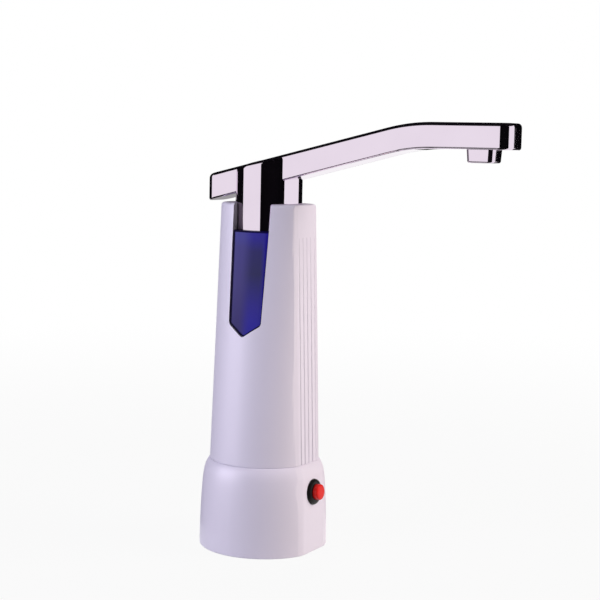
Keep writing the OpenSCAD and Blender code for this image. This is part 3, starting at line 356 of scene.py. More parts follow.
# White casing. The tall shell above the seam, moulded in one: it tapers from the collar's circle to
# a narrow oval, its front is a flat with five fine grooves that run out towards the top, and a
# pointed slot on each side leaves two horns. It is bored from above for the spout's column.
casing_top, top_back, top_side, top_flat = 187.5 * mm, 27.6 * mm, 20 * mm, 23.3 * mm
casing_wall, seat_z, guide_r, horn_round, casing_steps = 2.5 * mm, 158 * mm, 18.4 * mm, 1.6 * mm, 14
slot_tip, slot_low, slot_round, slot_corner = 116.6 * mm, 123.6 * mm, 1.3 * mm, 20
slot_low_x, slot_top_x = (-9.6 * mm, 10.4 * mm), (-10.5 * mm, 12.5 * mm)
groove_count, groove_pitch, groove_top, groove_early = 5, 4 * mm, 170 * mm, 0.01
groove_r, groove_depth, groove_end = 0.9 * mm, 0.5 * mm, 0.2 * mm
jack_z, jack_hole_r = 109 * mm, 4.05 * mm
front_way = Vector((casing_top - collar_h, 0, seam_flat - top_flat)).normalized()


def casing_share(z):
    return (z - collar_h) / (casing_top - collar_h)


def casing_ring(z, inset):
    share = casing_share(z)
    return z, seam_r + (top_back - seam_r) * share - inset, seam_r + (top_side - seam_r) * share - inset


def slot_sides(play):
    """Points on the slot's two sides and two lower edges, less some play, and the ways these face."""
    sides = []
    for way, low_x, top_x in zip((-1, 1), slot_low_x, slot_top_x):
        side = way * Vector((casing_top - slot_low, 0, low_x - top_x)).normalized()
        foot = way * Vector((slot_low - slot_tip, 0, -low_x)).normalized()
        sides.append((Vector((low_x, 0, slot_low)) - side * play, side))
        sides.append((Vector((0, 0, slot_tip)) - foot * play, foot))
    return sides


def slot_block(top, play, y_low, y_high):
    """The slot's pointed outline, less some play, as a solid that runs across from side to side."""
    piece = block((-seam_r, y_low, slot_tip - seam_r), (seam_r, y_high, top))
    for point, outwards in slot_sides(play):
        slice_off(piece, point, outwards)

    def low_corner(edge):
        across = abs(edge.verts[0].co.x - edge.verts[1].co.x) < level_play
        below = all(v.co.z < slot_low + slot_round for v in edge.verts)
        return across and below and not upright(edge) and turn_of(edge) > slot_corner

    return soften(piece, low_corner, slot_round, steps=4)


def front_half(z):
    """Half the width of the front flat at a height, up to its sharp corner."""
    long, wide = casing_ring(z, 0)[1:]
    flat = seam_flat + (top_flat - seam_flat) * casing_share(z)
    return wide * math.sqrt(1 - (flat / long)**2)


casing_levels = [collar_h + (casing_top - collar_h) * k / casing_steps for k in range(casing_steps + 1)]
casing = ring_stack([casing_ring(z, 0) for z in casing_levels], round_sides)
slice_off(casing, (seam_flat, 0, collar_h), front_way)
soften(casing, lambda e: level_at(e, casing_top), horn_round, steps=5)
soften(casing, lambda e: level_at(e, collar_h), seam_edge, steps=2)
for turn in corner_turns:
    for side in (-1, 1):
        foot = Vector((seam_flat, side * front_half(collar_h), collar_h))
        run = Vector((top_flat, side * front_half(casing_top), casing_top)) - foot
        way = Vector((math.cos(turn), side * math.sin(turn), 0))
        way.z = -way.dot(run) / run.z
        way.normalize()
        slice_off(casing, foot - way * corner_cut, way)
hollow = ring_stack([casing_ring(z, casing_wall) for z in (collar_h - past, seat_z)], round_sides)
slice_off(hollow, (seam_flat - casing_wall, 0, collar_h), front_way)
combine(casing, hollow, "DIFFERENCE")
drill(casing, guide_r, (0, 0, seat_z - past), (0, 0, casing_top + past), round_sides)
combine(casing, slot_block(casing_top + past, 0, -2 * seam_r, 2 * seam_r), "DIFFERENCE")
for k in range(groove_count):
    y = (k - (groove_count - 1) / 2) * groove_pitch
    low = Vector((seam_flat + groove_r - groove_depth, y, collar_h))
    flat_x = seam_flat - (seam_flat - top_flat) * casing_share(groove_top)
    high = Vector((flat_x + groove_r - groove_end, y, groove_top))
    drill(casing, groove_r, low - (high - low) * groove_early, high, small_sides)
drill(casing, jack_hole_r, (-seam_r - past, 0, jack_z), (-seam_r / 2, 0, jack_z))
set_shading(casing, crisp_angle)
place_piece(casing, "casing_moulding", white_abs, "pump_body", "white_plastic", "upper_casing")


# Blue windows. Two panes of deep blue polycarbonate, bowed like the casing's side, that drop into
# the slots from above and stop at the point. Light and shade are painted into the panes' colour: a
# painted reflection makes the back half a lighter dull blue, painted light makes it brighter at the
# top, the point and the front edge, and a painted shade of the gap round the pane gives it a nearly
# black outline.
window_top, window_t, window_recess = 173.4 * mm, 1.8 * mm, 0.5 * mm
window_play, window_edge, window_sides, window_crisp = 0.1 * mm, 0.6 * mm, 240, 25
bow_z, bow_back, bow_side = casing_ring((slot_tip + window_top) / 2, 0)
bow_r = bow_back**2 / bow_side
bow_lean = math.atan((seam_r - top_side) / (casing_top - collar_h))
bow_way = Vector((0, math.sin(bow_lean), math.cos(bow_lean)))
bow_in = Vector((0, math.cos(bow_lean), -math.sin(bow_lean)))
bow_at = Vector((0, window_recess - bow_side, bow_z)) + bow_in * bow_r
bow_half, bow_play, rim_corner, square_on = 70 * mm, 0.1 * mm, 30, 0.985
# A band of this width inside the pane's outline, moved this far towards the front, carries the painted
# shade of the gap round the pane.
painted_shade_w, painted_shade_shift = 1.0 * mm, Vector((0.6 * mm, 0, 0))
tint_clouds, tint_smooth, tint_rough, edge_ior = 90, 0.08, 0.1, 1.1
# A mix node's sockets for the share, the two colours and the result are found by these numbers.
blend_share, blend_first, blend_second, blend_colour = 0, 6, 7, 2


def off_bow(point):
    """How far a point lies from the line that the panes are bowed round."""
    return (point - bow_at).cross(bow_way).length


def tint_and_painted_light(name, ior, first, *steps):
    """Tinted clear plastic, with its light, shade and reflections painted into its colour. Each run of
    colours goes up the pane, as a list of shares of its height and colours. The first run starts at
    the back, and each further step gives the two places along X between which the next run takes over."""
    finish = bpy.data.materials.new(name)
    surface = surface_of(finish)
    nodes, links = finish.node_tree.nodes, finish.node_tree.links
    surface["IOR"].default_value = ior
    place = nodes.new("ShaderNodeTexCoord")
    axes = nodes.new("ShaderNodeSeparateXYZ")
    cloud = nodes.new("ShaderNodeTexNoise")
    cloud.inputs["Scale"].default_value = tint_clouds
    gloss = nodes.new("ShaderNodeMapRange")
    gloss.inputs["To Min"].default_value, gloss.inputs["To Max"].default_value = tint_smooth, tint_rough
    rise = nodes.new("ShaderNodeMapRange")
    rise.inputs["From Min"].default_value, rise.inputs["From Max"].default_value = slot_tip, window_top
    links.new(place.outputs["Object"], axes.inputs["Vector"])
    links.new(place.outputs["Object"], cloud.inputs["Vector"])
    links.new(cloud.outputs["Fac"], gloss.inputs["Value"])
    links.new(gloss.outputs["Result"], surface["Roughness"])
    links.new(axes.outputs["Z"], rise.inputs["Value"])

    def colour_run(colours):
        ramp = nodes.new("ShaderNodeValToRGB")
        ramp.color_ramp.elements.remove(ramp.color_ramp.elements[1])
        for height, colour in colours:
            stop = ramp.color_ramp.elements.new(height)
            stop.color = (*colour, 1)
        ramp.color_ramp.elements.remove(ramp.color_ramp.elements[0])
        links.new(rise.outputs["Result"], ramp.inputs["Fac"])
        return ramp.outputs["Color"]

    so_far = colour_run(first)
    for start, end, colours in steps:
        across = nodes.new("ShaderNodeMapRange")
        across.interpolation_type = "SMOOTHSTEP"
        across.inputs["From Min"].default_value, across.inputs["From Max"].default_value = start, end
        blend = nodes.new("ShaderNodeMix")
        blend.data_type = "RGBA"
        links.new(axes.outputs["X"], across.inputs["Value"])
        links.new(across.outputs["Result"], blend.inputs[blend_share])
        links.new(so_far, blend.inputs[blend_first])
        links.new(colour_run(colours), blend.inputs[blend_second])
        so_far = blend.outputs[blend_colour]
    links.new(so_far, surface["Base Color"])
    return finish


pane = slot_block(window_top, window_play, -2 * seam_r, 0)
bow_low, bow_high = bow_at - bow_way * bow_half, bow_at + bow_way * bow_half
combine(pane, rod(bow_r, bow_low, bow_high, window_sides), "INTERSECT")
drill(pane, bow_r - window_t, bow_low, bow_high, window_sides)
# The pane is cut along lines inside its outline, so that the band outside them can take the painted shade.
inner_lines = [(point + painted_shade_shift, outwards) for point, outwards in slot_sides(window_play + painted_shade_w)]
inner_lines.append((Vector((0, 0, window_top - painted_shade_w)), Vector((0, 0, 1))))
edit(pane)
for point, outwards in inner_lines:
    bpy.ops.mesh.select_all(action="SELECT")
    bpy.ops.mesh.bisect(plane_co=point, plane_no=outwards)
leave_edit(pane)


def outer_rim(edge):
    return turn_of(edge) > rim_corner and all(off_bow(v.co) > bow_r - bow_play for v in edge.verts)


soften(pane, outer_rim, window_edge, steps=3)
set_shading(pane, window_crisp)
# These runs paint light into the face: a painted reflection lightens the back half, and painted light
# through the pane brightens the point, the top and the front edge.
back_painted_reflection = [(0.0, (0.038, 0.027, 0.13)), (0.15, (0.040, 0.029, 0.155)), (0.5, (0.058, 0.046, 0.20)),
            (0.85, (0.060, 0.050, 0.23)), (0.93, (0.060, 0.054, 0.285))]
middle_painted_light = [(0.0, (0.015, 0.009, 0.33)), (0.15, (0.022, 0.015, 0.31)), (0.3, (0.026, 0.018, 0.26)),
              (0.6, (0.024, 0.022, 0.105)), (0.81, (0.024, 0.020, 0.135)), (0.94, (0.024, 0.016, 0.28))]
front_painted_light = [(0.0, (0.015, 0.009, 0.30)), (0.6, (0.022, 0.016, 0.22)), (1.0, (0.024, 0.016, 0.30))]
middle_start, middle_end, front_start, front_end = -3.5 * mm, 4.5 * mm, 8 * mm, 10.3 * mm
blue_painted_light = tint_and_painted_light("blue_painted_light", dull_ior, back_painted_reflection, (middle_start, middle_end, middle_painted_light),
                   (front_start, front_end, front_painted_light))
# The edge colours are painted shade: the near-black of the gap round the pane and of its bevels, a little
# lighter towards the front.
back_painted_shade = [(0.0, (0.004, 0.002, 0.02)), (1.0, (0.006, 0.004, 0.03))]
front_painted_shade = [(0.0, (0.004, 0.003, 0.03)), (1.0, (0.008, 0.005, 0.06))]
edge_start, edge_end = -6 * mm, 6 * mm
blue_painted_shade = tint_and_painted_light("blue_painted_shade", edge_ior, back_painted_shade, (edge_start, edge_end, front_painted_shade))
pane.data.materials.append(blue_painted_light)
pane.data.materials.append(blue_painted_shade)
# Faces in the band and on the bevels take the painted shade, and the rest take the face colours with their
# painted light.
for face in pane.data.polygons:
    out = face.center - bow_at
    out = (out - bow_way * out.dot(bow_way)).normalized()
    in_painted_shade = any((face.center - point).dot(outwards) > 0 for point, outwards in inner_lines)
    face.material_index = int(in_painted_shade or abs(face.normal.dot(out)) < square_on)
clear_selection()
pane.select_set(True)
bpy.context.view_layer.objects.active = pane
bpy.ops.object.duplicate()
far_pane = bpy.context.object
far_pane.scale = (1, -1, 1)
bpy.ops.object.transform_apply(location=True, rotation=True, scale=True)
edit(far_pane)
leave_edit(far_pane)
for piece, name, node in ((pane, "window_pane_near", "window_right"),
                          (far_pane, "window_pane_far", "window_left")):
    piece.name = piece.data.name = name
    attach(piece, "pump_body")
    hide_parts(node)


# Chrome spout. An ABS moulding plated bright: a round column that turns in the casing and a flat
# bar that rises to the front and levels out over the nozzle. The bar's ends are rounded in plan
# and its edges soft. It is open below, where the plate in the same finish closes it.
column_r, foot_z, spout_wall = 18 * mm, 158.3 * mm, 2 * mm
bar_h, bar_w, bar_corner, tail_x, tip_x = 13.2 * mm, 21 * mm, 6.1 * mm, -34.6 * mm, 141.6 * mm
tail_low, bar_rise, bend_start, bend_l = 188.8 * mm, math.tan(math.radians(13.8)), 75 * mm, 25 * mm
tail_drop, drop_end, bend_steps = 1.2 * mm, 115 * mm, 10
bar_top_edge, bar_low_edge, column_step = 2.1 * mm, 1.2 * mm, 0.9 * mm
channel_w, channel_stop = 15.4 * mm, 3 * mm
column_bore_r, foot_bore_r, foot_bore_l = 15 * mm, 16 * mm, 4 * mm
plate_w, plate_x0, plate_x1 = 17 * mm, 20 * mm, 137.6 * mm
plate_play, plate_edge = 0.05 * mm, 0.15 * mm
line_play, line_corner, plan_corner = 0.05 * mm, 40, 60


def bar_mid(x):
    """Height of the bar's middle line: a straight rise that levels out in an even bend."""
    s = min(max(x - bend_start, 0), bend_l)
    return tail_low + bar_h / 2 + bar_rise * (min(x, bend_start) - tail_x + s - s * s / (2 * bend_l))


def bar_drop(x):
    """How far the underside lies below that of an even bar, which is more towards the tail."""
    return tail_drop * max(drop_end - x, 0) / (drop_end - tail_x)


def bar_run(x0, x1, wide, low, high, drop=0):
    """A rectangle drawn along the bar's line between two heights off it, lower by a share of the drop."""
    clear_selection()
    deep = high - low + drop * bar_drop(x0)
    bpy.ops.mesh.primitive_plane_add(size=1, rotation=(0, math.pi / 2, 0),
                                     location=(x0, 0, bar_mid(x0) + high - deep / 2))
    piece = bpy.context.object
    piece.scale = (deep, wide, 1)
    bpy.ops.object.transform_apply(location=True, rotation=True, scale=True)
    bend = [bend_start + bend_l * k / bend_steps for k in range(bend_steps + 1)]
    stations = [x0] + bend + [drop_end, x1]
    edit(piece)
    bpy.ops.mesh.select_all(action="SELECT")
    for a, b in zip(stations, stations[1:]):
        step = (b - a, 0, bar_mid(b) - bar_mid(a))
        bpy.ops.mesh.extrude_region_move(TRANSFORM_OT_translate={"value": step})
        next_deep = high - low + drop * bar_drop(b)
        bpy.ops.transform.resize(value=(1, 1, next_deep / deep), center_override=(b, 0, bar_mid(b) + high))
        deep = next_deep
    return leave_edit(piece)


def on_bar(edge, height, drop=0):
    """Tells whether an edge is a corner at a height off the bar's line, lower by a share of the drop."""
    def off_line(point):
        return point.z - bar_mid(point.x) - height + drop * bar_drop(point.x)

    return turn_of(edge) > line_corner and all(abs(off_line(v.co)) < line_play for v in edge.verts)


metal_clouds, metal_detail, metal_dark, metal_light, polish_spread = 45, 4, 0.3, 0.7, 0.4


def polished(name, colour, shade, rough):
    """Bright metal with a faint cloud in its colour and polish."""
    finish = bpy.data.materials.new(name)
    surface = surface_of(finish)
    nodes, links = finish.node_tree.nodes, finish.node_tree.links
    surface["Metallic"].default_value = 1
    place = nodes.new("ShaderNodeTexCoord")
    cloud = nodes.new("ShaderNodeTexNoise")
    cloud.inputs["Scale"].default_value = metal_clouds
    cloud.inputs["Detail"].default_value = metal_detail
    tint = nodes.new("ShaderNodeValToRGB")
    dark, light = tint.color_ramp.elements
    dark.position, light.position = metal_dark, metal_light
    dark.color, light.color = (*shade, 1), (*colour, 1)
    polish = nodes.new("ShaderNodeMapRange")
    polish.inputs["To Min"].default_value = rough * (1 - polish_spread)
    polish.inputs["To Max"].default_value = rough * (1 + polish_spread)
    links.new(place.outputs["Object"], cloud.inputs["Vector"])
    links.new(cloud.outputs["Fac"], tint.inputs["Fac"])
    links.new(tint.outputs["Color"], surface["Base Color"])
    links.new(cloud.outputs["Fac"], polish.inputs["Value"])
    links.new(polish.outputs["Result"], surface["Roughness"])
    return finish


spout = bar_run(tail_x, tip_x, bar_w, -bar_h / 2, bar_h / 2, drop=1)
soften(spout, lambda e: upright(e) and turn_of(e) > plan_corner, bar_corner, steps=10)
soften(spout, lambda e: on_bar(e, bar_h / 2), bar_top_edge, steps=5)
soften(spout, lambda e: on_bar(e, -bar_h / 2, drop=1), bar_low_edge, steps=3)
column = rod(column_r, (0, 0, foot_z), (0, 0, bar_mid(0) + bar_h), round_sides)
slice_off(column, (0, 0, bar_mid(0) + bar_h / 2 - column_step), (-bar_rise, 0, 1))
soften(column, lambda e: on_bar(e, bar_h / 2 - column_step), bar_top_edge, steps=5)
soften(column, lambda e: level_at(e, foot_z), bar_low_edge, steps=3)
combine(spout, column, "UNION")
combine(spout, bar_run(tail_x + channel_stop, tip_x - channel_stop, channel_w, spout_wall - bar_h / 2,
                       bar_h / 2 - spout_wall), "DIFFERENCE")
combine(spout, bar_run(plate_x0 - plate_play, plate_x1 + plate_play, plate_w + 2 * plate_play,
                       -bar_h / 2 - 2 * past, spout_wall - bar_h / 2), "DIFFERENCE")
drill(spout, column_bore_r, (0, 0, foot_z - past),
      (0, 0, bar_mid(-column_bore_r) + bar_h / 2 - spout_wall), round_sides)
drill(spout, foot_bore_r, (0, 0, foot_z - past), (0, 0, foot_z + foot_bore_l), round_sides)
set_shading(spout, crisp_angle)
chrome = polished("chrome", (0.81, 0.71, 0.82), (0.78, 0.68, 0.79), rough=0.03)
place_piece(spout, "spout_moulding", chrome, "spout", "chrome", "spout_shell")


# Spout nozzle and plate. A square chromed block glued up under the bar's tip, a little narrower at
# its foot, with rounded corners and a round outlet, and the plate that closes the bar from below.
nozzle_x, nozzle_l, nozzle_w, nozzle_corner = 124.5 * mm, 15 * mm, 14 * mm, 3 * mm
nozzle_drop, nozzle_taper, nozzle_edge = 6.6 * mm, 0.4 * mm, 0.9 * mm
nozzle_top = bar_mid(nozzle_x) - bar_h / 2
nozzle_low = nozzle_top - nozzle_drop
elbow_hole_r, elbow_neck_l = 5.55 * mm, 3.5 * mm
outlet_r, outlet_lip, lip_r = 4 * mm, 0.8 * mm, 3.4 * mm
clear_selection()
bpy.ops.mesh.primitive_plane_add(size=1, location=(nozzle_x, 0, nozzle_top))
nozzle = bpy.context.object
nozzle.scale = (nozzle_l, nozzle_w, 1)
bpy.ops.object.transform_apply(location=True, rotation=True, scale=True)
edit(nozzle)
bpy.ops.mesh.select_all(action="SELECT")
bpy.ops.mesh.extrude_region_move(TRANSFORM_OT_translate={"value": (0, 0, -nozzle_drop)})
bpy.ops.transform.resize(value=(1 - 2 * nozzle_taper / nozzle_l, 1 - 2 * nozzle_taper / nozzle_w, 1),
                         center_override=(nozzle_x, 0, nozzle_low))
leave_edit(nozzle)
soften(nozzle, upright, nozzle_corner, steps=8)
soften(nozzle, lambda e: level_at(e, nozzle_low), nozzle_edge, steps=4)
drill(nozzle, elbow_hole_r, (nozzle_x, 0, nozzle_top - elbow_neck_l), (nozzle_x, 0, nozzle_top + past))
drill(nozzle, outlet_r, (nozzle_x, 0, nozzle_low + outlet_lip), (nozzle_x, 0, nozzle_top + past))
drill(nozzle, lip_r, (nozzle_x, 0, nozzle_low - past), (nozzle_x, 0, nozzle_top + past))
set_shading(nozzle, crisp_angle)
place_piece(nozzle, "nozzle_block", chrome, "spout", "chrome", "spout_nozzle")

plate = bar_run(plate_x0, plate_x1, plate_w, -bar_h / 2, spout_wall - bar_h / 2, drop=1)
soften(plate, lambda e: on_bar(e, -bar_h / 2, drop=1), plate_edge, steps=2)
drill(plate, elbow_hole_r, (nozzle_x, 0, nozzle_low), (nozzle_x, 0, nozzle_top + bar_h))
set_shading(plate, crisp_angle)
place_piece(plate, "spout_plate", chrome, "spout", "chrome", "spout_underplate")


# Push button. A black nylon panel switch: a round bezel with a coned face on a barrel through the
# panel, and a glossy red cap that slides in it against a coil spring.
bezel_r, bezel_h, bezel_side, bezel_lip, bezel_edge = 7 * mm, 2 * mm, 0.9 * mm, 1.3 * mm, 0.6 * mm
barrel_r, barrel_l, barrel_base = 5.9 * mm, 14 * mm, 1.5 * mm
cap_r, cap_out, cap_low, cap_play = 4.25 * mm, 5 * mm, -1.5 * mm, 0.1 * mm
cap_travel, cap_edge, cap_crown, crown_share = 2.5 * mm, 0.7 * mm, 0.25 * mm, 0.45
bezel_face, cap_side, crown_r = cap_r + bezel_lip, cap_out - cap_crown, cap_r * crown_share
stop_gap, spring_room_r = 0.3 * mm, 3 * mm
plunger_r, plunger_low, button_sides = 2 * mm, -6 * mm, 96
spring_r, wire_r, spring_turns, spring_keep = 2.2 * mm, 0.35 * mm, 5, 0.6
turn_steps, wire_sides, coil_crisp = 24, 10, 40


def to_panel(piece):
    """Moves a piece drawn on the Z axis out to the button's place on the collar's flat."""
    piece.data.transform(Matrix.Translation(button_at) @ Matrix.Rotation(math.pi / 2 - button_tilt, 4, "Y"))
    return piece


bezel = ring_stack([(-barrel_l, barrel_r, barrel_r), (0, barrel_r, barrel_r), (0, bezel_r, bezel_r),
                    (bezel_side, bezel_r, bezel_r), (bezel_h, bezel_face, bezel_face)], button_sides)
soften(bezel, lambda e: level_at(e, bezel_side) or level_at(e, bezel_h), bezel_edge, steps=3)
drill(bezel, cap_r + cap_play, (0, 0, cap_low - cap_travel - stop_gap), (0, 0, bezel_h + past))
drill(bezel, spring_room_r, (0, 0, barrel_base - barrel_l), (0, 0, bezel_h + past))
to_panel(bezel)
set_shading(bezel, crisp_angle)
black_nylon = moulded("black_nylon", (0.010, 0.008, 0.008), (0.006, 0.005, 0.005),
                      rough=0.38, grain=0.4, ior=dull_ior)
place_piece(bezel, "button_bezel", black_nylon, "pump_body", "black_plastic", "switch_housing")

cap = ring_stack([(plunger_low, plunger_r, plunger_r), (cap_low, plunger_r, plunger_r),
                  (cap_low, cap_r, cap_r), (cap_side, cap_r, cap_r),
                  (cap_out, crown_r, crown_r)], button_sides)
soften(cap, lambda e: level_at(e, cap_side), cap_edge, steps=5)
to_panel(cap)
set_shading(cap, crisp_angle)
red_cap = moulded("red_cap", (0.74, 0.012, 0.008), (0.68, 0.010, 0.007),
                  rough=0.25, grain=0.1, ior=dull_ior)
place_piece(cap, "button_dome", red_cap, "button", "red_plastic", "button_cap")

spring_low, spring_high = barrel_base - barrel_l + wire_r, plunger_low - wire_r
clear_selection()
bpy.ops.mesh.primitive_circle_add(vertices=wire_sides, radius=wire_r, location=(spring_r, 0, spring_low),
                                  rotation=(math.pi / 2, 0, 0))
spring = bpy.context.object
bpy.ops.object.transform_apply(location=True, rotation=True, scale=True)
coil = spring.modifiers.new("coil", "SCREW")
coil.steps, coil.iterations = turn_steps, spring_turns
coil.screw_offset = (spring_high - spring_low) / spring_turns
bpy.ops.object.modifier_apply(modifier=coil.name)
edit(spring)
bpy.ops.mesh.select_all(action="SELECT")
bpy.ops.mesh.fill_holes(sides=wire_sides)
leave_edit(spring)
to_panel(spring)
set_shading(spring, coil_crisp)
steel = polished("steel", (0.58, 0.57, 0.56), (0.50, 0.49, 0.48), rough=0.28)
place_piece(spring, "button_coil", steel, "pump_body", "steel", "button_spring")
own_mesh(spring)


# Other parts. They keep their CAD shapes and only take a finish: rubber seals, the pump and its
# fittings, the motor, the cell, the board, the charging socket, tubes, leads and fasteners.
def dress(finish, *names):
    for name in names:
        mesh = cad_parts[name].data
        mesh.materials.clear()
        mesh.materials.append(finish)


rubber = moulded("rubber", (0.016, 0.016, 0.017), (0.010, 0.010, 0.011), rough=0.62, grain=0.6)
natural_plastic = moulded("natural_plastic", (0.72, 0.72, 0.70), (0.66, 0.66, 0.64), rough=0.42, grain=0.5)
silicone = moulded("silicone", (0.62, 0.66, 0.68), (0.55, 0.60, 0.62), rough=0.35, grain=0.3)
brass = polished("brass", (0.62, 0.44, 0.18), (0.52, 0.36, 0.14), rough=0.30)
iron = polished("iron", (0.20, 0.19, 0.18), (0.14, 0.13, 0.13), rough=0.5)
cell_wrap = moulded("cell_wrap", (0.03, 0.16, 0.42), (0.025, 0.13, 0.36), rough=0.3, grain=0.2)
board_resin = moulded("board_resin", (0.012, 0.13, 0.05), (0.010, 0.10, 0.04),
                      rough=0.4, grain=0.4, clouds=300)
lamp_resin = moulded("lamp_resin", (0.75, 0.75, 0.80), (0.65, 0.65, 0.72), rough=0.2, grain=0.1)
red_pvc = moulded("red_pvc", (0.45, 0.015, 0.012), (0.36, 0.012, 0.010), rough=0.4, grain=0.3)
black_pvc = moulded("black_pvc", (0.014, 0.014, 0.015), (0.010, 0.010, 0.010), rough=0.4, grain=0.3)
dress(black_nylon, "charge_socket", "impeller")
dress(rubber, "neck_gasket", "pump_seal_ring", "shaft_seal", "stem_o_rings")
dress(natural_plastic, "intake_fitting", "intake_nut", "pump_cover", "pump_housing", "motor_end_bell",
      "inner_chassis", "swivel_seat", "inlet_cap", "swivel_stem", "nozzle_elbow")
dress(silicone, "delivery_tube", "spout_tube")
dress(steel, "pump_screws", "motor_can", "motor_shaft", "casing_screws", "board_screws", "seat_screws",
      "stem_clip", "nozzle_screen", "switch_washer", "switch_nut", "battery_tabs")
dress(brass, "motor_bushes", "motor_terminals", "switch_terminals")
dress(iron, "motor_magnets", "motor_armature")
dress(cell_wrap, "battery_cell")
dress(board_resin, "control_board")
dress(lamp_resin, "window_leds")
dress(red_pvc, "motor_wires", "battery_wires")
dress(black_pvc, "switch_wires")


# Studio. A pale floor and backdrop, soft lamps round the object, a further one for the white plastic's
# sheen, and black and grey cards that only gloss sees, which give the chrome its dark and light bands.
floor_size, floor_white, floor_share = 40, (0.4, 0.4, 0.4), 0.93
floor_near, floor_far = 0.2, 1.0
world_share = 0.08
bpy.context.scene.view_settings.view_transform = "Standard"

clear_selection()
bpy.ops.mesh.primitive_plane_add(size=floor_size, location=(0, 0, 0))
floor = bpy.context.object
floor.name = "floor"
paper = bpy.data.materials.new("paper")
surface = surface_of(paper)
nodes, links = paper.node_tree.nodes, paper.node_tree.links
surface["Base Color"].default_value = (*floor_white, 1)
surface["Roughness"].default_value = 1
surface["Specular IOR Level"].default_value = 0
glow = nodes.new("ShaderNodeEmission")
ray = nodes.new("ShaderNodeLightPath")
seen = nodes.new("ShaderNodeMath")
seen.operation = "MAXIMUM"
share = nodes.new("ShaderNodeMath")
share.operation = "MULTIPLY"
place = nodes.new("ShaderNodeTexCoord")
away = nodes.new("ShaderNodeVectorMath")
away.operation = "LENGTH"
fade = nodes.new("ShaderNodeMapRange")
fade.interpolation_type = "SMOOTHSTEP"
fade.inputs["From Min"].default_value, fade.inputs["From Max"].default_value = floor_near, floor_far
fade.inputs["To Min"].default_value, fade.inputs["To Max"].default_value = floor_share, 1
links.new(place.outputs["Object"], away.inputs[0])
links.new(away.outputs["Value"], fade.inputs["Value"])
links.new(fade.outputs["Result"], share.inputs[1])
mix = nodes.new("ShaderNodeMixShader")
links.new(ray.outputs["Is Camera Ray"], seen.inputs[0])
links.new(ray.outputs["Is Glossy Ray"], seen.inputs[1])
links.new(seen.outputs["Value"], share.inputs[0])
links.new(share.outputs["Value"], mix.inputs["Fac"])
links.new(nodes["Principled BSDF"].outputs["BSDF"], mix.inputs[1])
links.new(glow.outputs["Emission"], mix.inputs[2])
links.new(mix.outputs["Shader"], nodes["Material Output"].inputs["Surface"])
floor.data.materials.append(paper)
floor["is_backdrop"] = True

world = bpy.data.worlds.new("studio")
bpy.context.scene.world = world
world.use_nodes = True
nodes, links = world.node_tree.nodes, world.node_tree.links
backdrop = nodes["Background"]
backdrop.inputs["Color"].default_value = (1, 1, 1, 1)
ray = nodes.new("ShaderNodeLightPath")
seen, through = nodes.new("ShaderNodeMath"), nodes.new("ShaderNodeMath")
seen.operation = through.operation = "MAXIMUM"
level = nodes.new("ShaderNodeMapRange")
level.inputs["To Min"].default_value, level.inputs["To Max"].default_value = world_share, 1
links.new(ray.outputs["Is Camera Ray"], seen.inputs[0])
links.new(ray.outputs["Is Glossy Ray"], seen.inputs[1])
links.new(seen.outputs["Value"], through.inputs[0])
links.new(ray.outputs["Is Transmission Ray"], through.inputs[1])
links.new(through.outputs["Value"], level.inputs["Value"])
links.new(level.outputs["Result"], backdrop.inputs["Strength"])


def compass(degrees, radius, height):
    """A point round the object. Degrees run from -Y, the photographed side, towards +X."""
    angle = math.radians(degrees)
    return Vector((radius * math.sin(angle), -radius * math.cos(angle), height))


lamp_far, lamp_high, lamp_size, lamp_aim = 1.6, 0.7, (1.2, 1.6), Vector((0, 0, 0.1))
sheen_high, sheen_size = 0.62, (1.2, 1.2)


def soft_lamp(name, degrees, height, size, power, colour):
    lamp = bpy.data.lights.new(name, "AREA")
    lamp.shape, lamp.size, lamp.size_y = "RECTANGLE", size[0], size[1]
    lamp.energy, lamp.color = power, colour
    stand = bpy.data.objects.new(name, lamp)
    bpy.context.scene.collection.objects.link(stand)
    stand.location = compass(degrees, lamp_far, height)
    stand.rotation_euler = (lamp_aim - stand.location).to_track_quat("-Z", "Y").to_euler()
    stand.visible_glossy = False
    return stand


soft_lamp("left_lamp", -27, lamp_high, lamp_size, power=26, colour=(0.87, 0.88, 1.0))
soft_lamp("right_lamp", 112, lamp_high, lamp_size, power=35, colour=(1.0, 0.93, 0.85))
soft_lamp("back_lamp", 212, lamp_high, lamp_size, power=18, colour=(0.96, 0.95, 1.0))
sheen_lamp = soft_lamp("sheen_lamp", -46, sheen_high, sheen_size, power=34, colour=(0.9, 0.82, 1.0))
sheen_lamp.visible_glossy, sheen_lamp.visible_diffuse = True, False
shining = bpy.data.collections.new("shining")
for piece in (collar, casing):
    shining.objects.link(piece)
sheen_lamp.light_linking.receiver_collection = shining

card_ink, card_glow = (0.008, 0.007, 0.009), 0.36
card_near, card_mid, card_far, card_top = 0.06, 0.75, 2.4, 1.2
card_steps, ceiling_sides = 24, 64
front_span, back_span = (2.2, 85.3), (154, 292)
right_span, tail_span, left_span, near_span = (154, 185), (211, 240), (240, 292), (292, 356)
card_grey = bpy.data.materials.new("card_grey")
surface = surface_of(card_grey)
surface["Base Color"].default_value = (0, 0, 0, 1)
surface["Emission Color"].default_value = (1, 1, 1, 1)
surface["Emission Strength"].default_value = card_glow
card_black = bpy.data.materials.new("card_black")
surface = surface_of(card_black)
surface["Base Color"].default_value = (*card_ink, 1)
surface["Roughness"].default_value = 1
surface["Specular IOR Level"].default_value = 0


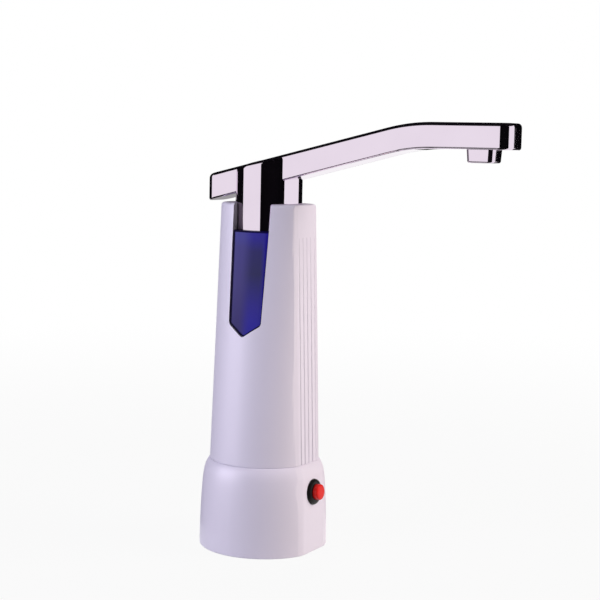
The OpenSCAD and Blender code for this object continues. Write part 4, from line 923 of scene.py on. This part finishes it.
def show_to_gloss_only(card, finish):
    card.visible_camera = card.visible_diffuse = card.visible_transmission = False
    card.visible_shadow = card.visible_volume_scatter = False
    card.data.materials.append(finish)
    card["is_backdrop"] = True


def bent_card(name, finish, span, near, low, far, high):
    """A card bent round the object between two bearings: a straight edge, spun about the Z axis."""
    start, end = span
    clear_selection()
    bpy.ops.mesh.primitive_plane_add(size=1, location=(0, 0, 0))
    card = bpy.context.object
    card.name = name
    edit(card)
    bpy.ops.mesh.select_all(action="SELECT")
    bpy.ops.mesh.delete(type="ONLY_FACE")
    shape = bmesh.from_edit_mesh(card.data)
    shape.verts.ensure_lookup_table()
    shape.verts[0].co, shape.verts[1].co = compass(start, near, low), compass(start, far, high)
    bmesh.ops.delete(shape, geom=[shape.verts[2], shape.verts[3]], context="VERTS")
    bmesh.update_edit_mesh(card.data)
    bpy.ops.mesh.select_all(action="SELECT")
    bpy.ops.mesh.spin(steps=card_steps, angle=math.radians(start - end), center=(0, 0, 0), axis=(0, 0, 1))
    bpy.ops.object.mode_set(mode="OBJECT")
    show_to_gloss_only(card, finish)


for name, span in (("card_front", front_span), ("card_back", back_span)):
    bent_card(name, card_black, span, card_far, -past, card_far, card_top)
for name, span in (("card_low_front", front_span), ("card_low_right", right_span),
                   ("card_low_left", left_span)):
    bent_card(name, card_black, span, card_near, past, card_far, past)
bent_card("card_low_near", card_black, near_span, card_near, past, card_mid, past)
bent_card("card_low_tail", card_grey, tail_span, card_near, past, card_far, past)
clear_selection()
bpy.ops.mesh.primitive_circle_add(vertices=ceiling_sides, radius=card_far, fill_type="NGON",
                                  location=(0, 0, card_top))
show_to_gloss_only(bpy.context.object, card_black)


# Camera. A long lens at about the spout's height, turned, tipped and rolled as the outlines in the
# photograph ask. Then the bounds of the shown pieces, without the floor and cards, are taken.
eye_turn, eye_far, eye_high = 31.683, 0.7672, 0.2215
eye_pan, eye_tip, eye_roll, eye_lens, eye_sensor = 1.336, 6.426, 1.201, 85.03, 36
lens = bpy.data.cameras.new("camera")
lens.lens, lens.sensor_width = eye_lens, eye_sensor
camera = bpy.data.objects.new("camera", lens)
bpy.context.scene.collection.objects.link(camera)
aim = Matrix.Rotation(math.radians(eye_turn - eye_pan), 4, "Z")
aim = aim @ Matrix.Rotation(math.radians(90 - eye_tip), 4, "X")
aim = aim @ Matrix.Rotation(math.radians(eye_roll), 4, "Z")
camera.matrix_world = Matrix.Translation(compass(eye_turn, eye_far, eye_high)) @ aim
bpy.context.scene.camera = camera

low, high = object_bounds()
